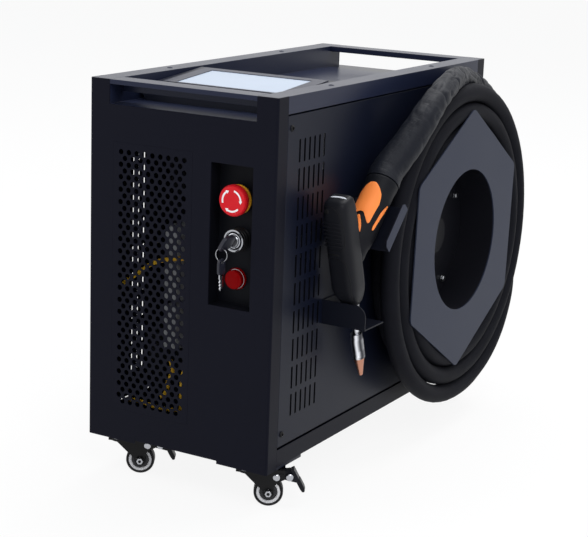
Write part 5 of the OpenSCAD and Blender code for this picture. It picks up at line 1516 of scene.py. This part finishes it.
class WELDER_OT_stage(WelderOperator, Operator):
    """Set the pale floor, the even room light and the lamps"""

    bl_idname = "welder.stage"
    bl_label = "Stage"

    def make(self, scene):
        stage = scene.welder_stage
        mesh = bpy.data.meshes.new("floor")
        mesh.from_pydata([(-14, -14, 0), (14, -14, 0), (14, 14, 0), (-14, 14, 0)], [], [(0, 1, 2, 3)])
        floor = bpy.data.objects.new("floor", mesh)
        scene.collection.objects.link(floor)
        mesh.materials.append(self.floor_finish(tuple(stage.floor), stage.white))
        self.room(scene, stage.ambient)
        for name, place, size, power in (
            ("key_lamp", (2.6, -2.4, 3.0), 2.2, stage.key),
            ("fill_lamp", (-3.0, -2.2, 2.2), 2.4, stage.key * 0.4),
            ("top_lamp", (0.2, 1.2, 3.4), 2.6, stage.key * 1.5),
        ):
            data = bpy.data.lights.new(name, "AREA")
            data.size = size
            data.energy = power
            lamp = bpy.data.objects.new(name, data)
            scene.collection.objects.link(lamp)
            lamp.location = place
            lamp.rotation_euler = (Vector((0.05, 0, 0.3)) - Vector(place)).to_track_quat("-Z", "Y").to_euler()
        scene.view_settings.view_transform = "Standard"

    def plain_rays(self, tree):
        """1 for what the camera, a mirror or glass sees, and 0 for diffuse light."""
        path = add(tree, "ShaderNodeLightPath")
        glossy = add(tree, "ShaderNodeMath", {"operation": "MAXIMUM"}, i0=(path, "Is Camera Ray"),
            i1=(path, "Is Glossy Ray"))
        return add(tree, "ShaderNodeMath", {"operation": "MAXIMUM"}, i0=(glossy, "Value"),
            i1=(path, "Is Transmission Ray"))

    def floor_finish(self, color, white_share):
        material = bpy.data.materials.new("floor")
        material.use_nodes = True
        tree = material.node_tree
        tree.nodes.clear()
        seen = self.plain_rays(tree)
        half = add(tree, "ShaderNodeMath", {"operation": "MULTIPLY"}, i0=(seen, "Value"), i1=white_share)
        matte = add(tree, "ShaderNodeBsdfDiffuse", Color=(*color, 1))
        white = add(tree, "ShaderNodeEmission", Color=(1, 1, 1, 1), Strength=1.0)
        mixed = add(tree, "ShaderNodeMixShader", i0=(half, "Value"), i1=(matte, "BSDF"),
            i2=(white, "Emission"))
        result = add(tree, "ShaderNodeOutputMaterial")
        tree.links.new(mixed.outputs[0], result.inputs["Surface"])
        return material

    def room(self, scene, strength):
        world = bpy.data.worlds.new("room")
        scene.world = world
        world.use_nodes = True
        tree = world.node_tree
        tree.nodes.clear()
        seen = self.plain_rays(tree)
        soft = add(tree, "ShaderNodeBackground", Color=(0.95, 0.97, 1.0, 1), Strength=strength)
        white = add(tree, "ShaderNodeBackground", Color=(1, 1, 1, 1), Strength=1.0)
        mixed = add(tree, "ShaderNodeMixShader", i0=(seen, "Value"), i1=(soft, "Background"),
            i2=(white, "Background"))
        result = add(tree, "ShaderNodeOutputWorld")
        tree.links.new(mixed.outputs[0], result.inputs["Surface"])


class WELDER_PT_panel(Panel):
    """Lists the settings and the steps in the sidebar"""

    bl_label = "Welding Machine"
    bl_idname = "WELDER_PT_panel"
    bl_space_type = "VIEW_3D"
    bl_region_type = "UI"
    bl_category = "Welding Machine"

    def draw(self, context):
        for group in (context.scene.welder_paint, context.scene.welder_hose, context.scene.welder_stage):
            box = self.layout.box()
            for label in group.__annotations__:
                box.prop(group, label)
        for step in STEPS:
            self.layout.operator(step.bl_idname)


STEPS = (
    WELDER_OT_camera, WELDER_OT_hose, WELDER_OT_cabinet, WELDER_OT_console, WELDER_OT_controls,
    WELDER_OT_reel,
    WELDER_OT_gun, WELDER_OT_holder, WELDER_OT_casters, WELDER_OT_rear, WELDER_OT_stage,
)
GROUPS = (("welder_paint", WelderPaint), ("welder_hose", WelderHose), ("welder_stage", WelderStage))


def register():
    for _, group in GROUPS:
        bpy.utils.register_class(group)
    for step in (*STEPS, WELDER_PT_panel):
        bpy.utils.register_class(step)
    for name, group in GROUPS:
        setattr(bpy.types.Scene, name, PointerProperty(type=group))


def unregister():
    for name, _ in GROUPS:
        delattr(bpy.types.Scene, name)
    for step in (WELDER_PT_panel, *STEPS):
        bpy.utils.unregister_class(step)
    for _, group in GROUPS:
        bpy.utils.unregister_class(group)


def main():
    register()
    for other in list(bpy.context.scene.objects):
        if other.name in ("Cube", "Light", "Camera"):
            bpy.data.objects.remove(other)
    make_finishes(bpy.context.scene.welder_paint)
    bpy.ops.welder.camera()
    bpy.ops.welder.hose()
    bpy.ops.welder.cabinet()
    bpy.ops.welder.console()
    bpy.ops.welder.controls()
    bpy.ops.welder.reel()
    bpy.ops.welder.gun()
    bpy.ops.welder.holder()
    bpy.ops.welder.casters()
    bpy.ops.welder.rear()
    bpy.ops.welder.stage()


if __name__ == "__main__":
    main()
